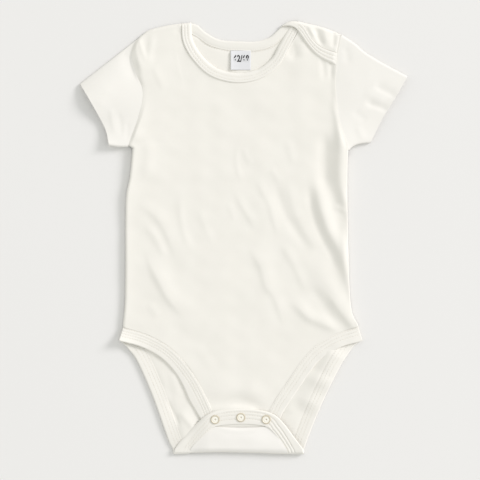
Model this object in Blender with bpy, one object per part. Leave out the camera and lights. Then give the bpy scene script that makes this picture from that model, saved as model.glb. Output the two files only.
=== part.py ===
"""Short-sleeved baby bodysuit, laid flat on its back with its crotch snaps fastened.

Lengths are millimetres and become metres where a mesh is made.  +Z is up, the neck points to +Y
and the cloth rests on z = 0.  Left and right are those of someone who looks down at the garment.
Every cloth piece is a closed wall: a grid of points on its under side and one on its upper side.
"""

from collections import namedtuple
from math import cos, pi, sin

import bmesh
import bpy
import numpy as np

MM = 0.001

# Walls and clear spaces
CLOTH = 1.2          # cotton jersey with its seam allowance
BINDING = 1.8        # folded binding strip
SEAM = 0.3           # clear space between two pieces
LABEL = 1.0          # woven label with its turned ends

# Widths of the sewn strips: share of a strip's length from its first end, and width there
BandWidth = namedtuple("BandWidth", "share width")
FRONT_NECK_BAND = (BandWidth(0, 9.8),)
BACK_NECK_BAND = (BandWidth(0, 10.5),)
LAP_BAND = (BandWidth(0, 8.5), BandWidth(0.4, 9.2), BandWidth(1, 12.8))
FRONT_LEG_BAND_LEFT = (BandWidth(0, 12.8), BandWidth(0.16, 13), BandWidth(0.26, 16.2), BandWidth(0.32, 16.2),
                       BandWidth(0.4, 14.6), BandWidth(0.56, 13.4), BandWidth(1, 13))
FRONT_LEG_BAND_RIGHT = (BandWidth(0, 13), BandWidth(0.6, 13.2), BandWidth(1, 14.6))
BACK_LEG_BAND = (BandWidth(0, 15), BandWidth(0.08, 13), BandWidth(1, 13))

# Heights of the layers
FRONT_FLOOR = CLOTH + SEAM               # under side of the front panel at its side seams
EDGE_LIFT = 0.9                          # more than that at the bound edges, over a back binding
BAND_FLOOR = BINDING + SEAM              # under side of the bindings on the front
PUFF = 2.0                               # how far the middle of the front stands off the back
LAP_FLOOR = BAND_FLOOR + BINDING + SEAM  # under side of the shoulder lap's binding
SLEEVE_AT_SEAM = 2.9                     # height of a sleeve at its armhole
SLEEVE_AT_CUFF = 5.8                     # and at its open cuff

# Crotch fold, where the end of the back panel turns up over the front
FOLD_Y = -208.8
FOLD_RADIUS = 2.2
FLAP_RISE = 1.2          # the flap climbs this much above the fold to clear the front's end
FLAP_RISE_LENGTH = 16.0
BAND_STEP = 0.6          # its bindings stand this much above the flap's face

# Snaps
SNAP_RADIUS = 4.4
SNAP_HEIGHT = 1.5
SNAP_X = {"snap_left": -27.0, "snap_middle": -2.0, "snap_right": 22.5}
SNAP_Y = {"snap_left": -175.5, "snap_middle": -173.5, "snap_right": -175.5}

# Label on the inside of the back neck
LABEL_LEFT, LABEL_RIGHT = -12.0, 8.0
LABEL_TOP, LABEL_BOTTOM = 179.5, 163.6

# Shoulder lap, from the folded shoulder to its binding's seam: share of the way, and height there
LapRow = namedtuple("LapRow", "share floor")
LAP_SECTION = (
    LapRow(0.0, FRONT_FLOOR), LapRow(0.06, 2.7), LapRow(0.14, 3.6),
    LapRow(0.24, LAP_FLOOR), LapRow(0.6, LAP_FLOOR), LapRow(0.97, LAP_FLOOR),
)
LAP_INSET = (54, 211)    # the lap's own corner at the neck, beside the end of the neck binding
LAP_ARM_GAP = 0.2        # clear space kept at the armhole
ARMHOLE_RUN = (-0.12, -1)    # direction of the armhole where the lap's binding ends

# Curves of the cut, as points to pass through, from the crotch or underarm up and from left to right
FRONT_LEG_LEFT = ((-22, -190), (-31, -165), (-47, -133.5), (-68, -108.5), (-92, -94), (-116.5, -86.5))
FRONT_LEG_RIGHT = ((17, -190), (27, -164), (44.5, -137), (65, -109), (88, -93.5), (112, -85.5))
SIDE_LEFT = ((-116.5, -86.5), (-114, -54), (-113.7, 18), (-113, 42), (-109.5, 60), (-107, 88))
SIDE_RIGHT = ((112, -85.5), (104.5, -65.5), (102, -10), (101, 50), (101.5, 86))
ARMHOLE_LEFT = ((-112, 91), (-100.5, 119), (-96.5, 142), (-103.5, 161.5), (-107.5, 178), (-103.5, 193))
ARMHOLE_RIGHT = ((103, 88), (93, 116), (89.5, 146), (91, 172), (95.5, 198))
SHOULDER_LEFT = ((-103.5, 193), (-92, 202), (-76, 206.5), (-60, 209))
SHOULDER_RIGHT = ((50, 211), (63, 208.8), (80, 204.5), (95.5, 198))
FRONT_NECK = ((-60, 209), (-58, 190), (-47.5, 172), (-30, 157), (-5, 151), (18, 155.5), (35, 168.5),
              (44, 184), (52, 199))
BACK_NECK_TOP = ((-52, 209.5), (-44, 207), (-36, 200), (-22, 193), (-2, 191.5), (14, 191.5),
                 (26, 195.5), (33, 201.5), (39, 207), (47, 210.8))
BACK_LEG_LEFT = ((-54, -206.6), (-61, -190), (-76, -148), (-91.5, -113), (-103, -97.5), (-111, -90),
                 (-116.5, -86.5))
BACK_LEG_RIGHT = ((45.5, -206.6), (52, -187), (65.5, -154), (82, -120), (96, -99), (105.5, -90),
                  (112, -85.5))
FLAP_LEFT = ((-26, -182), (-34, -187), (-45, -199), (-52, -206.6))
FLAP_RIGHT = ((21.5, -182), (28, -186), (36, -196), (43.5, -206.6))
PLACKET_TOP = ((-25, -166.2), (-8, -165.3), (10, -165.2), (20, -166.2))
PLACKET_BOTTOM = ((-14, -180.2), (-2, -179.6), (10, -180))
FLAP_TOP = ((-26, -182.3), (-14, -183.2), (-1, -183.4), (12, -183.2), (21.5, -182.3))
LAP_SEAM = ((52, 211), (58.5, 206.5), (65.5, 199), (75, 189), (89.5, 180))
SLEEVE_TOP_LEFT = ((-103.5, 193), (-119.5, 180.5), (-158.5, 150))
SLEEVE_TOP_RIGHT = ((95.5, 198), (109, 190), (119.5, 178.5), (159.5, 157.5))
CUFF_LEFT = ((-158.5, 150), (-149, 134.5), (-134.5, 108), (-131, 97), (-130, 91))
CUFF_RIGHT = ((159.5, 157.5), (150.5, 141), (142.5, 128), (133, 112), (124, 93))
UNDERARM_LEFT = ((-112, 91), (-120, 89.8), (-130, 91))
UNDERARM_RIGHT = ((103, 88), (111, 92), (124, 93))

# Largest folds of the front: a soft ridge (or trough, where the height is negative) along a bent line
Fold = namedtuple("Fold", "x1 y1 x2 y2 x3 y3 width height")
FRONT_FOLDS = (
    Fold(73, 54, 88, 18, 98, -24, 6.5, 1.3),
    Fold(62, 54, 78, 18, 90, -20, 6.0, -0.8),
    Fold(46, 40, 57, 13, 76, -8, 6.0, 0.8),
    Fold(88, 108, 86, 70, 90, 40, 5.5, -0.9),
    Fold(-92, -12, -82, -36, -66, -62, 6.5, 1.1),
    Fold(-95, 34, -80, 16, -68, -14, 6.0, 0.7),
    Fold(47, -50, 64, -67, 92, -82, 6.5, 1.0),
    Fold(67, -34, 84, -58, 98, -76, 6.0, -0.9),
    Fold(72, -22, 86, -34, 96, -46, 5.5, 0.9),
    Fold(10, -18, 24, -48, 34, -76, 6.0, 0.6),
    Fold(19, 40, 28, 20, 34, 2, 6.0, 0.5),
    Fold(-66, 190, -80, 172, -82, 148, 6.0, 0.9),
    Fold(-92, 192, -92, 180, -88, 170, 5.0, -0.6),
    Fold(52, 190, 55, 182, 58, 172, 5.5, -0.7),
    Fold(-24, -158, -2, -156, 18, -159, 5.5, 0.5),
    Fold(-22, -149, -2, -150, 18, -155, 5.5, -0.6),
)
SLEEVE_FOLDS_LEFT = (
    Fold(-104, 150, -112, 140, -117, 124, 6.0, 1.0),
    Fold(-124, 118, -120, 108, -118, 98, 5.0, -0.8),
)
SLEEVE_FOLDS_RIGHT = (
    Fold(146, 138, 138, 142, 130, 148, 4.5, -1.8),
    Fold(138, 125, 129, 129, 120, 132, 4.5, -1.8),
    Fold(142, 132, 132, 136, 122, 140, 4.5, 0.5),
)

# Colours: linear base colour and roughness
IVORY_COTTON = ("ivory_cotton", (0.86, 0.83, 0.75), 0.9)
RIB_BINDING = ("rib_binding", (0.84, 0.81, 0.72), 0.9)
WHITE_LABEL = ("white_label", (0.80, 0.82, 0.86), 0.7)
SNAP_ENAMEL = ("snap_enamel", (0.55, 0.47, 0.36), 0.35)

# Points along each line of the cut, the same on both pieces that meet there
LEG_ROWS, FLAP_ROWS, ARM_ROWS = 13, 5, 10
FRONT_NECK_ROWS, BACK_NECK_ROWS, LAP_ROWS, PLACKET_ROWS = 22, 12, 8, 12
FRONT_SIDE_ROWS, BACK_SIDE_ROWS, SHOULDER_COLUMNS = 16, 8, 4


# ---------------------------------------------------------------- curves

def smooth_line(points, steps=12):
    """Dense points on a Catmull-Rom spline through the given ones."""
    given = np.array(points, float)
    ends = np.vstack([2 * given[0] - given[1], given, 2 * given[-1] - given[-2]])
    t = np.linspace(0, 1, steps, endpoint=False)[:, None]
    spans = []
    for before, start, end, after in zip(ends, ends[1:], ends[2:], ends[3:]):
        bend = 2 * before - 5 * start + 4 * end - after
        twist = 3 * (start - end) + after - before
        spans.append(start + 0.5 * ((end - before) * t + bend * t**2 + twist * t**3))
    return np.vstack(spans + [given[-1:]])


def evenly(line, count):
    """The line cut into `count` parts of equal length."""
    length = np.r_[0, np.cumsum(np.linalg.norm(np.diff(line, axis=0), axis=1))]
    at = np.linspace(0, length[-1], count + 1)
    return np.column_stack([np.interp(at, length, line[:, i]) for i in range(line.shape[1])])


def along(points, count):
    return evenly(smooth_line(points), count)


def offset(line, distance):
    """The line moved sideways in plan, to the left of its direction."""
    run = unit(np.gradient(line, axis=0))
    return line + distance * np.column_stack([-run[:, 1], run[:, 0]])


def unit(vectors):
    return vectors / np.linalg.norm(vectors, axis=-1, keepdims=True)


def chain(*lines):
    """Lines joined end to end, each shared end once."""
    return np.vstack([lines[0]] + [line[1:] for line in lines[1:]])


def soft_step(value):
    value = np.clip(value, 0, 1)
    return value * value * (3 - 2 * value)


# ---------------------------------------------------------------- heights

FOLD_SAMPLES = 24       # points along a fold's line
FOLD_END = 0.08         # share of it at which the fading stops, so that its ends stay soft


def fold_height(folds, x, y):
    """What the folds add at the points: a bell across each bent line, fading out at its ends."""
    total = np.zeros_like(x)
    for fold in folds:
        t = np.linspace(0, 1, FOLD_SAMPLES)
        line_x = (1 - t) ** 2 * fold.x1 + 2 * t * (1 - t) * fold.x2 + t**2 * fold.x3
        line_y = (1 - t) ** 2 * fold.y1 + 2 * t * (1 - t) * fold.y2 + t**2 * fold.y3
        away = np.hypot(x[..., None] - line_x, y[..., None] - line_y)
        strength = np.sin(pi * np.clip(t, FOLD_END, 1 - FOLD_END)) ** 0.5
        fade = np.exp(-((away / fold.width) ** 2)) * strength
        total += fold.height * fade.max(axis=-1)
    return total


# ---------------------------------------------------------------- solids

def material(name, colour, roughness):
    made = bpy.data.materials.get(name)
    if made is None:
        made = bpy.data.materials.new(name)
        made.use_nodes = True
        shader = made.node_tree.nodes["Principled BSDF"]
        shader.inputs["Base Color"].default_value = (*colour, 1)
        shader.inputs["Roughness"].default_value = roughness
        shader.inputs["Metallic"].default_value = 0.0
    return made


def add_solid(name, points, faces, finish):
    """One closed object from points in millimetres, with its faces turned outward."""
    mesh = bpy.data.meshes.new(name)
    mesh.from_pydata([tuple(point) for point in np.asarray(points) * MM], [], faces)
    edit = bmesh.new()
    edit.from_mesh(mesh)
    bmesh.ops.recalc_face_normals(edit, faces=edit.faces)
    if edit.calc_volume(signed=True) < 0:
        bmesh.ops.reverse_faces(edit, faces=edit.faces)
    edit.to_mesh(mesh)
    edit.free()
    mesh.materials.append(material(*finish))
    mesh.shade_smooth()
    mesh.set_sharp_from_angle(angle=pi / 5)
    made = bpy.data.objects.new(name, mesh)
    bpy.context.collection.objects.link(made)
    return made


def grid_faces(rows, columns, first, wrap=False):
    """Quads of a grid whose points are numbered row by row from `first`."""
    faces = []
    for row in range(rows - 1):
        for column in range(columns if wrap else columns - 1):
            beside = (column + 1) % columns
            here = first + row * columns
            above = here + columns
            faces.append((here + column, here + beside, above + beside, above + column))
    return faces


def add_wall(name, under, over, finish):
    """A cloth wall between two grids of points of the same rows and columns."""
    rows, columns = under.shape[:2]
    count = rows * columns
    faces = grid_faces(rows, columns, 0) + grid_faces(rows, columns, count)
    rim = list(range(columns))
    rim += [row * columns + columns - 1 for row in range(1, rows)]
    rim += [(rows - 1) * columns + column for column in range(columns - 2, -1, -1)]
    rim += [row * columns for row in range(rows - 2, 0, -1)]
    for here, after in zip(rim, rim[1:] + rim[:1]):
        faces.append((here, after, after + count, here + count))
    add_solid(name, np.vstack([under.reshape(-1, 3), over.reshape(-1, 3)]), faces, finish)


def add_tube(name, outer, inner, finish):
    """An open tube: rings of outer points and rings of inner points, joined at both ends."""
    rows, around = outer.shape[:2]
    count = rows * around
    faces = grid_faces(rows, around, 0, wrap=True) + grid_faces(rows, around, count, wrap=True)
    for start in (0, count - around):
        for column in range(around):
            here, beside = start + column, start + (column + 1) % around
            faces.append((here, beside, beside + count, here + count))
    add_solid(name, np.vstack([outer.reshape(-1, 3), inner.reshape(-1, 3)]), faces, finish)


# ---------------------------------------------------------------- panels in plan

def panel_edge(leg, side_line, side_rows, arm_line, inward):
    """One side edge of a panel: the leg's line, the side seam and the armhole."""
    arm = offset(along(arm_line, ARM_ROWS), inward)
    return np.vstack([chain(leg, along(side_line, side_rows)), arm])


def between(left, right, columns):
    """Rows of points from a left edge to a right edge."""
    u = np.linspace(0, 1, columns + 1)[None, :, None]
    return left[:, None] * (1 - u) + right[:, None] * u


def pulled_to_top(plan, top, power=4):
    """The plan with its last row moved onto `top`; the rows below follow less and less."""
    pull = np.linspace(0, 1, len(plan)) ** power
    return plan + pull[:, None, None] * (top - plan[-1])[None]


def across(plan):
    """For each point of a plan, 0 at its left and right edges and 1 half way."""
    u = np.linspace(0, 1, plan.shape[1])
    return np.broadcast_to(2 * np.minimum(u, 1 - u), plan.shape[:2])


def at_height(plan, height):
    return np.dstack([plan, np.broadcast_to(height, plan.shape[:2])])


# ---------------------------------------------------------------- front panel

FRONT_COLUMNS = FRONT_NECK_ROWS + 2 * SHOULDER_COLUMNS
LAP_TURN = 4.4      # the front ends this far inside the right shoulder, under the lap's turned edge
TOP_FADE_ROWS = 4   # rows below the shoulder over which the puff and the folds die away
LEG_FADE_ROWS = 3   # rows above the crotch's end over which the folds start
RIM_POWER = 5       # how quickly the puff rises from a side seam
HIP_START, HIP_STEEPNESS = 0.86, 3      # where the bound edge ends and the side seam starts
PUFF_START, PUFF_STEEPNESS = 0.35, 1.2  # where the puff starts above the crotch


def front_panel_plan():
    half = SEAM / 2
    left = panel_edge(offset(along(FRONT_LEG_LEFT, LEG_ROWS), -half), SIDE_LEFT,
                      FRONT_SIDE_ROWS, ARMHOLE_LEFT, -half)
    right = panel_edge(offset(along(FRONT_LEG_RIGHT, LEG_ROWS), half), SIDE_RIGHT,
                       FRONT_SIDE_ROWS, ARMHOLE_RIGHT, half)
    hidden_shoulder = offset(along(SHOULDER_RIGHT, SHOULDER_COLUMNS), -LAP_TURN)
    top = chain(
        along(SHOULDER_LEFT, SHOULDER_COLUMNS),
        offset(along(FRONT_NECK, FRONT_NECK_ROWS), -half),
        hidden_shoulder,
    )
    top[0], right[-1] = left[-1], top[-1]
    return pulled_to_top(between(left, right, FRONT_COLUMNS), top)


def front_panel_lift(plan):
    """How far the front stands above its side seams: a soft puff, the bound edges and the folds."""
    rows = np.arange(len(plan))
    from_leg = rows / LEG_ROWS
    from_top = (len(plan) - 1 - rows) / TOP_FADE_ROWS
    edge = EDGE_LIFT * (1 - soft_step((from_leg - HIP_START) * HIP_STEEPNESS))
    rim = 1 - (1 - across(plan)) ** RIM_POWER
    middle = EDGE_LIFT + (PUFF - EDGE_LIFT) * soft_step((from_leg - PUFF_START) * PUFF_STEEPNESS)
    body = edge[:, None] + (middle - edge)[:, None] * rim
    toward_top = soft_step(1 - from_top)[:, None]
    base = body + (EDGE_LIFT - body) * toward_top
    calm = soft_step(across(plan) * 4) * soft_step(from_top * 2)[:, None]
    calm = calm * soft_step(rows / LEG_FADE_ROWS)[:, None]
    return np.maximum(base + calm * fold_height(FRONT_FOLDS, plan[..., 0], plan[..., 1]), 0)


def add_front_panel():
    plan = front_panel_plan()
    under = FRONT_FLOOR + front_panel_lift(plan)
    add_wall("front_panel", at_height(plan, under), at_height(plan, under + CLOTH), IVORY_COTTON)


# ---------------------------------------------------------------- back panel and its crotch flap

FOLD_STEPS = 6
FOLD_START_Y = FOLD_Y + FOLD_RADIUS
FOLD_LENGTH = pi * (FOLD_RADIUS - CLOTH / 2)


def flat_from_flap(points):
    """Points on the turned-up flap, as they lie when the back is rolled out flat."""
    points = np.array(points, float)
    return np.column_stack([points[:, 0], 2 * FOLD_START_Y - FOLD_LENGTH - points[:, 1]])


def folded(plan, lift):
    """Rolled-out points of the back, `lift` above its outer face, brought to their folded place."""
    x, flat_y = plan[..., 0], plan[..., 1]
    past = FOLD_START_Y - flat_y
    angle = np.clip(past / (FOLD_RADIUS - CLOTH / 2), 0, pi)
    radius = FOLD_RADIUS - lift
    beyond = np.maximum(past - FOLD_LENGTH, 0)
    rise = FLAP_RISE * soft_step(beyond / FLAP_RISE_LENGTH)
    y = np.where(past < 0, flat_y, FOLD_START_Y - radius * np.sin(angle) + beyond)
    return np.dstack([x, y, FOLD_RADIUS - radius * np.cos(angle) + rise])


def fold_span(flap_end, back_start, count=FOLD_STEPS):
    """Evenly spaced points round the fold, between a flap edge and a back edge, rolled out."""
    return np.linspace(flap_end, back_start, count + 1)


BACK_COLUMNS = BACK_NECK_ROWS + 2 * SHOULDER_COLUMNS


def back_edge(flap_line, leg_line, side_line, arm_line, inward):
    """One side edge of the rolled-out back, from the flap's end to the shoulder."""
    flap = flat_from_flap(along(flap_line, FLAP_ROWS))
    leg = along(leg_line, LEG_ROWS)
    bound = chain(flap, fold_span(flap[-1], leg[0]), leg)
    return panel_edge(offset(bound, inward), side_line, BACK_SIDE_ROWS, arm_line, inward)


def add_back_panel():
    half = SEAM / 2
    left = back_edge(FLAP_LEFT, BACK_LEG_LEFT, SIDE_LEFT, ARMHOLE_LEFT, -half)
    right = back_edge(FLAP_RIGHT, BACK_LEG_RIGHT, SIDE_RIGHT, ARMHOLE_RIGHT, half)
    top = np.vstack([
        along(SHOULDER_LEFT, SHOULDER_COLUMNS - 1),
        offset(along(BACK_NECK_TOP, BACK_NECK_ROWS), -BACK_NECK_BAND[0].width - half),
        along(SHOULDER_RIGHT, SHOULDER_COLUMNS - 1),
    ])
    top[0], top[-1] = left[-1], right[-1]
    plan = pulled_to_top(between(left, right, BACK_COLUMNS), top)
    flap_top = flat_from_flap(along(FLAP_TOP, BACK_COLUMNS))
    flap_pull = np.clip(1 - np.arange(len(plan)) / FLAP_ROWS, 0, 1)
    plan = plan + flap_pull[:, None, None] * (flap_top - plan[0])[None]
    add_wall("back_panel", folded(plan, np.zeros(plan.shape[:2])),
             folded(plan, np.full(plan.shape[:2], CLOTH)), IVORY_COTTON)


# ---------------------------------------------------------------- bindings

LEAN_LENGTH = 26.0      # how near the crotch fold or the hip a strip's sections turn to its end
HIP_RUN = (0.29, -0.96)     # direction of a strip's end at the hip, outward and down
FLAP_START = -0.2           # share of the flap's rise at which a strip's ribbed face changes sides
RIB_FADE, RIB_START = 3.0, 0.6

# Cross-section of a folded strip: share of its width, and share of its height above mid-wall
BAND_PROFILE = ((0.0, 0.45), (0.16, 1.0), (0.5, 0.86), (0.84, 1.0), (1.0, 0.3))


def band_plan(line, widths, side, lean=0.0, lean_to=(0.0, 1.0)):
    """Columns of points from a seam line out to the strip's free edge.

    `side` is 1 where the strip lies to the left of the line's direction and -1 to its right.
    Its sections are square to the line, and turn toward `lean_to` where `lean` rises to 1.
    """
    step = np.linalg.norm(np.diff(line, axis=0), axis=1)
    at = np.r_[0, np.cumsum(step)] / step.sum()
    width = np.interp(at, [row.share for row in widths], [row.width for row in widths])
    run = unit(np.gradient(line, axis=0))
    square = side * np.column_stack([-run[:, 1], run[:, 0]])
    lean = np.broadcast_to(lean, len(line))[:, None]
    out = unit(square * (1 - lean) + unit(np.array(lean_to)) * lean)
    reach = width / (out * square).sum(axis=1)
    shares = np.array([share for share, _ in BAND_PROFILE])
    along_section = SEAM / 2 + shares * (reach[:, None] - SEAM / 2)
    return line[:, None] + along_section[..., None] * out[:, None]


def band_heights(floor, wall):
    rises = np.array([rise for _, rise in BAND_PROFILE])
    return floor + wall / 2 * (1 + rises)


def add_band(name, plan, floor):
    over = at_height(plan, band_heights(floor, BINDING))
    add_wall(name, at_height(plan, floor), over, RIB_BINDING)


def add_front_bindings():
    neck = band_plan(along(FRONT_NECK, FRONT_NECK_ROWS), FRONT_NECK_BAND, 1)
    left_leg = band_plan(along(FRONT_LEG_LEFT, LEG_ROWS), FRONT_LEG_BAND_LEFT, 1)
    right_leg = band_plan(along(FRONT_LEG_RIGHT, LEG_ROWS), FRONT_LEG_BAND_RIGHT, -1)
    add_band("neck_binding_front", neck, BAND_FLOOR)
    add_band("leg_binding_front_left", left_leg, BAND_FLOOR)
    add_band("leg_binding_front_right", right_leg, BAND_FLOOR)


def add_back_leg_binding(name, flap_line, leg_line, side):
    """A strip round the back of a leg, that turns at the crotch fold and climbs the flap's side."""
    flap = flat_from_flap(along(flap_line, FLAP_ROWS))
    leg = along(leg_line, LEG_ROWS)
    line = chain(flap, fold_span(flap[-1], leg[0]), leg)
    from_fold = np.maximum(FOLD_START_Y - FOLD_LENGTH - line[:, 1], line[:, 1] - FOLD_START_Y)
    from_hip = np.abs(line[:, 0] - line[-1, 0])
    near_hip = from_hip < LEAN_LENGTH
    lean = soft_step(1 - np.where(near_hip, from_hip, from_fold) / LEAN_LENGTH)
    lean_to = np.where(near_hip[:, None], (-side * HIP_RUN[0], HIP_RUN[1]), (-side, 0.0))
    plan = band_plan(line, BACK_LEG_BAND, side, lean, lean_to)
    past_fold = (FOLD_START_Y - FOLD_LENGTH - plan[..., 1]) / FLAP_RISE_LENGTH
    outer = -BAND_STEP * soft_step(past_fold)
    wall = band_heights(0, BINDING)[None, :]
    on_flap = past_fold > FLAP_START
    ribs = (BINDING - wall) * soft_step(past_fold * RIB_FADE + RIB_START)
    outer_face = np.where(on_flap, outer + ribs, 0)
    inner_face = np.where(on_flap, outer + BINDING, wall)
    add_wall(name, folded(plan, outer_face), folded(plan, inner_face), RIB_BINDING)


def band_end(flap_line, side):
    """The seam side and the free side of a flap binding's end, a seam's gap beyond it."""
    line = along(flap_line, FLAP_ROWS)
    run = unit(line[0] - line[1])
    start = line[0] + SEAM * run
    return start, start + side * BACK_LEG_BAND[0].width * np.array([-run[1], run[0]])


def add_snap_placket():
    left_seam, left_free = band_end(FLAP_LEFT, 1)
    right_seam, right_free = band_end(FLAP_RIGHT, -1)
    top = along((left_free,) + PLACKET_TOP + (right_free,), PLACKET_ROWS)
    bottom = along((left_seam,) + PLACKET_BOTTOM + (right_seam,), PLACKET_ROWS)
    shares = np.array([share for share, _ in BAND_PROFILE])[None, :, None]
    plan = bottom[:, None] * (1 - shares) + top[:, None] * shares
    floor = flap_face() - CLOTH
    add_wall("snap_placket", at_height(plan, floor),
             at_height(plan, band_heights(floor, BINDING)), RIB_BINDING)


def flap_face():
    """Height of the flap's upper face past the fold."""
    return 2 * FOLD_RADIUS + FLAP_RISE


# ---------------------------------------------------------------- shoulder lap

def add_shoulder_lap():
    """The back's right shoulder, turned over the front, and the binding along its free edge."""
    seam = along(LAP_SEAM, LAP_ROWS)
    outline = along((LAP_INSET,) + SHOULDER_RIGHT[1:], LAP_ROWS)
    outline[-1] = outline[-1] - (LAP_ARM_GAP, 0)
    shares = np.array([row.share for row in LAP_SECTION])[None, :, None]
    floors = np.array([row.floor for row in LAP_SECTION])[None, :]
    plan = outline[:, None] * (1 - shares) + seam[:, None] * shares
    add_wall("shoulder_lap", at_height(plan, floors), at_height(plan, floors + CLOTH), IVORY_COTTON)
    near_arm = soft_step(np.linspace(-2, 1, LAP_ROWS + 1))
    add_band("lap_binding", band_plan(seam, LAP_BAND, -1, near_arm, ARMHOLE_RUN), LAP_FLOOR)


# ---------------------------------------------------------------- back neck binding and label

def add_back_neck():
    line = offset(along(BACK_NECK_TOP, BACK_NECK_ROWS), -BACK_NECK_BAND[0].width)
    add_band("neck_binding_back", band_plan(line, BACK_NECK_BAND, 1), 0.0)
    plan = np.array([[(x, y) for x in (LABEL_LEFT, LABEL_RIGHT)] for y in (LABEL_BOTTOM, LABEL_TOP)])
    floor = CLOTH + SEAM
    add_wall("neck_label", at_height(plan, floor), at_height(plan, floor + LABEL), WHITE_LABEL)


# ---------------------------------------------------------------- sleeves

SLEEVE_ROWS = 9
TURNED_EDGE = 0.012     # share of a sleeve's width in which its folded edges round over
TURNED_HEIGHT = 0.75    # share of its half height where they start to
RISE_STEEPNESS = 4      # how quickly its folds start past the armhole


def sleeve_section():
    """Shares of the width and of the height, once round a flattened tube."""
    level = np.linspace(0, 1, ARM_ROWS + 1)
    level[0], level[-1] = TURNED_EDGE, 1 - TURNED_EDGE
    shares = np.r_[0, level, 1, level[::-1]]
    heights = np.r_[0, np.ones_like(level), 0, -np.ones_like(level)]
    for end in (1, ARM_ROWS + 1, ARM_ROWS + 3, 2 * ARM_ROWS + 3):
        heights[end] *= TURNED_HEIGHT
    return shares, heights


def add_sleeve(name, armhole, cuff, top_edge, under_edge, folds, outward):
    """A flattened tube, open at the armhole and at the cuff."""
    shares, swell = sleeve_section()
    seam = offset(along(armhole, ARM_ROWS)[::-1], outward * SEAM / 2)
    hem = along(cuff, ARM_ROWS)
    top = along(top_edge, SLEEVE_ROWS)
    under = along(under_edge, SLEEVE_ROWS)
    level = np.linspace(0, 1, ARM_ROWS + 1)
    seam_bend = seam - np.linspace(seam[0], seam[-1], ARM_ROWS + 1)
    hem_bend = hem - np.linspace(hem[0], hem[-1], ARM_ROWS + 1)

    def ring(row, inset):
        """Points round the tube at one row, `inset` inside its outer face."""
        v = row / SLEEVE_ROWS
        ends = (seam[0], seam[-1]) if row == 0 else (top[row], under[row])
        line = np.linspace(*ends, ARM_ROWS + 1) + (1 - v) * seam_bend + v * hem_bend
        width = np.linalg.norm(line[-1] - line[0])
        inner_shares = 0.5 + (shares - 0.5) * (1 - 2 * inset / width)
        x = np.interp(inner_shares, level, line[:, 0])
        y = np.interp(inner_shares, level, line[:, 1])
        height = SLEEVE_AT_SEAM + (SLEEVE_AT_CUFF - SLEEVE_AT_SEAM) * soft_step(v)
        height = height + soft_step(v * RISE_STEEPNESS) * fold_height(folds, x, y)
        height = np.maximum(height, SLEEVE_AT_SEAM)
        return np.column_stack([x, y, height / 2 + swell * (height / 2 - inset)])

    rows = range(SLEEVE_ROWS + 1)
    outer = np.stack([ring(row, 0.0) for row in rows])
    inner = np.stack([ring(row, CLOTH) for row in rows])
    add_tube(name, outer, inner, IVORY_COTTON)


# ---------------------------------------------------------------- snaps

# Radius and height of a snap's cap, as shares of its own: rim, rolled edge, dish and centre stud
CapPoint = namedtuple("CapPoint", "radius height")
SNAP_PROFILE = (
    CapPoint(0.90, 0.0), CapPoint(1.0, 0.3), CapPoint(1.0, 0.7), CapPoint(0.88, 1.0),
    CapPoint(0.74, 0.95), CapPoint(0.62, 0.6), CapPoint(0.3, 0.6), CapPoint(0.18, 0.3),
)


def add_snap(name, sides=20):
    floor = flap_face() + BAND_STEP + SEAM
    points = []
    for cap_point in SNAP_PROFILE:
        for side in range(sides):
            angle = 2 * pi * side / sides
            points.append((
                SNAP_X[name] + SNAP_RADIUS * cap_point.radius * cos(angle),
                SNAP_Y[name] + SNAP_RADIUS * cap_point.radius * sin(angle),
                floor + SNAP_HEIGHT * cap_point.height,
            ))
    faces = grid_faces(len(SNAP_PROFILE), sides, 0, wrap=True)
    faces.append(tuple(range(sides)))
    faces.append(tuple(range(len(points) - sides, len(points))))
    add_solid(name, points, faces, SNAP_ENAMEL)


def main():
    for old in list(bpy.data.objects):
        bpy.data.objects.remove(old)
    add_back_panel()
    add_front_panel()
    add_sleeve("sleeve_left", ARMHOLE_LEFT, CUFF_LEFT, SLEEVE_TOP_LEFT, UNDERARM_LEFT,
               SLEEVE_FOLDS_LEFT, -1)
    add_sleeve("sleeve_right", ARMHOLE_RIGHT, CUFF_RIGHT, SLEEVE_TOP_RIGHT, UNDERARM_RIGHT,
               SLEEVE_FOLDS_RIGHT, 1)
    add_front_bindings()
    add_back_neck()
    add_shoulder_lap()
    add_back_leg_binding("leg_binding_back_left", FLAP_LEFT, BACK_LEG_LEFT, 1)
    add_back_leg_binding("leg_binding_back_right", FLAP_RIGHT, BACK_LEG_RIGHT, -1)
    add_snap_placket()
    for name in SNAP_X:
        add_snap(name)


main()
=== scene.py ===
"""Looks of a short-sleeved baby bodysuit that lies flat on its back, fastened at the crotch.

Lengths are millimetres and become metres where a mesh is made.  +Z is up and the neck points to
+Y.  Left and right are those of someone who looks down at the garment.
"""

from collections import namedtuple
from math import cos, pi, sin

import bpy
import numpy as np
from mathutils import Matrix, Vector


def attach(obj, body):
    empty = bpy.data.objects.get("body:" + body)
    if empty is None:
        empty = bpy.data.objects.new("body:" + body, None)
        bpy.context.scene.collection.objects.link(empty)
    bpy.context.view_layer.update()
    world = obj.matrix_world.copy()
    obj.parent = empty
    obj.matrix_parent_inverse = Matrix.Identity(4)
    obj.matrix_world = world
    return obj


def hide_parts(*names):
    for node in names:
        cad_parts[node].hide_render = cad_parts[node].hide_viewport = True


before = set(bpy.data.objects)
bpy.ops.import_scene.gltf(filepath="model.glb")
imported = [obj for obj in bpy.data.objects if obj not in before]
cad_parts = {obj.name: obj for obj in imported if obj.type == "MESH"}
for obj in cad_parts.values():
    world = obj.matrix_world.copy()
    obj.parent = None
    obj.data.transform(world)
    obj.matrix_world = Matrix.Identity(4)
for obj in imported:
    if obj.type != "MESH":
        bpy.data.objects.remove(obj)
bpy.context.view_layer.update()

MM = 0.001               # in the scene's metres

# ---------------------------------------------------------------- sizes

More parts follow.
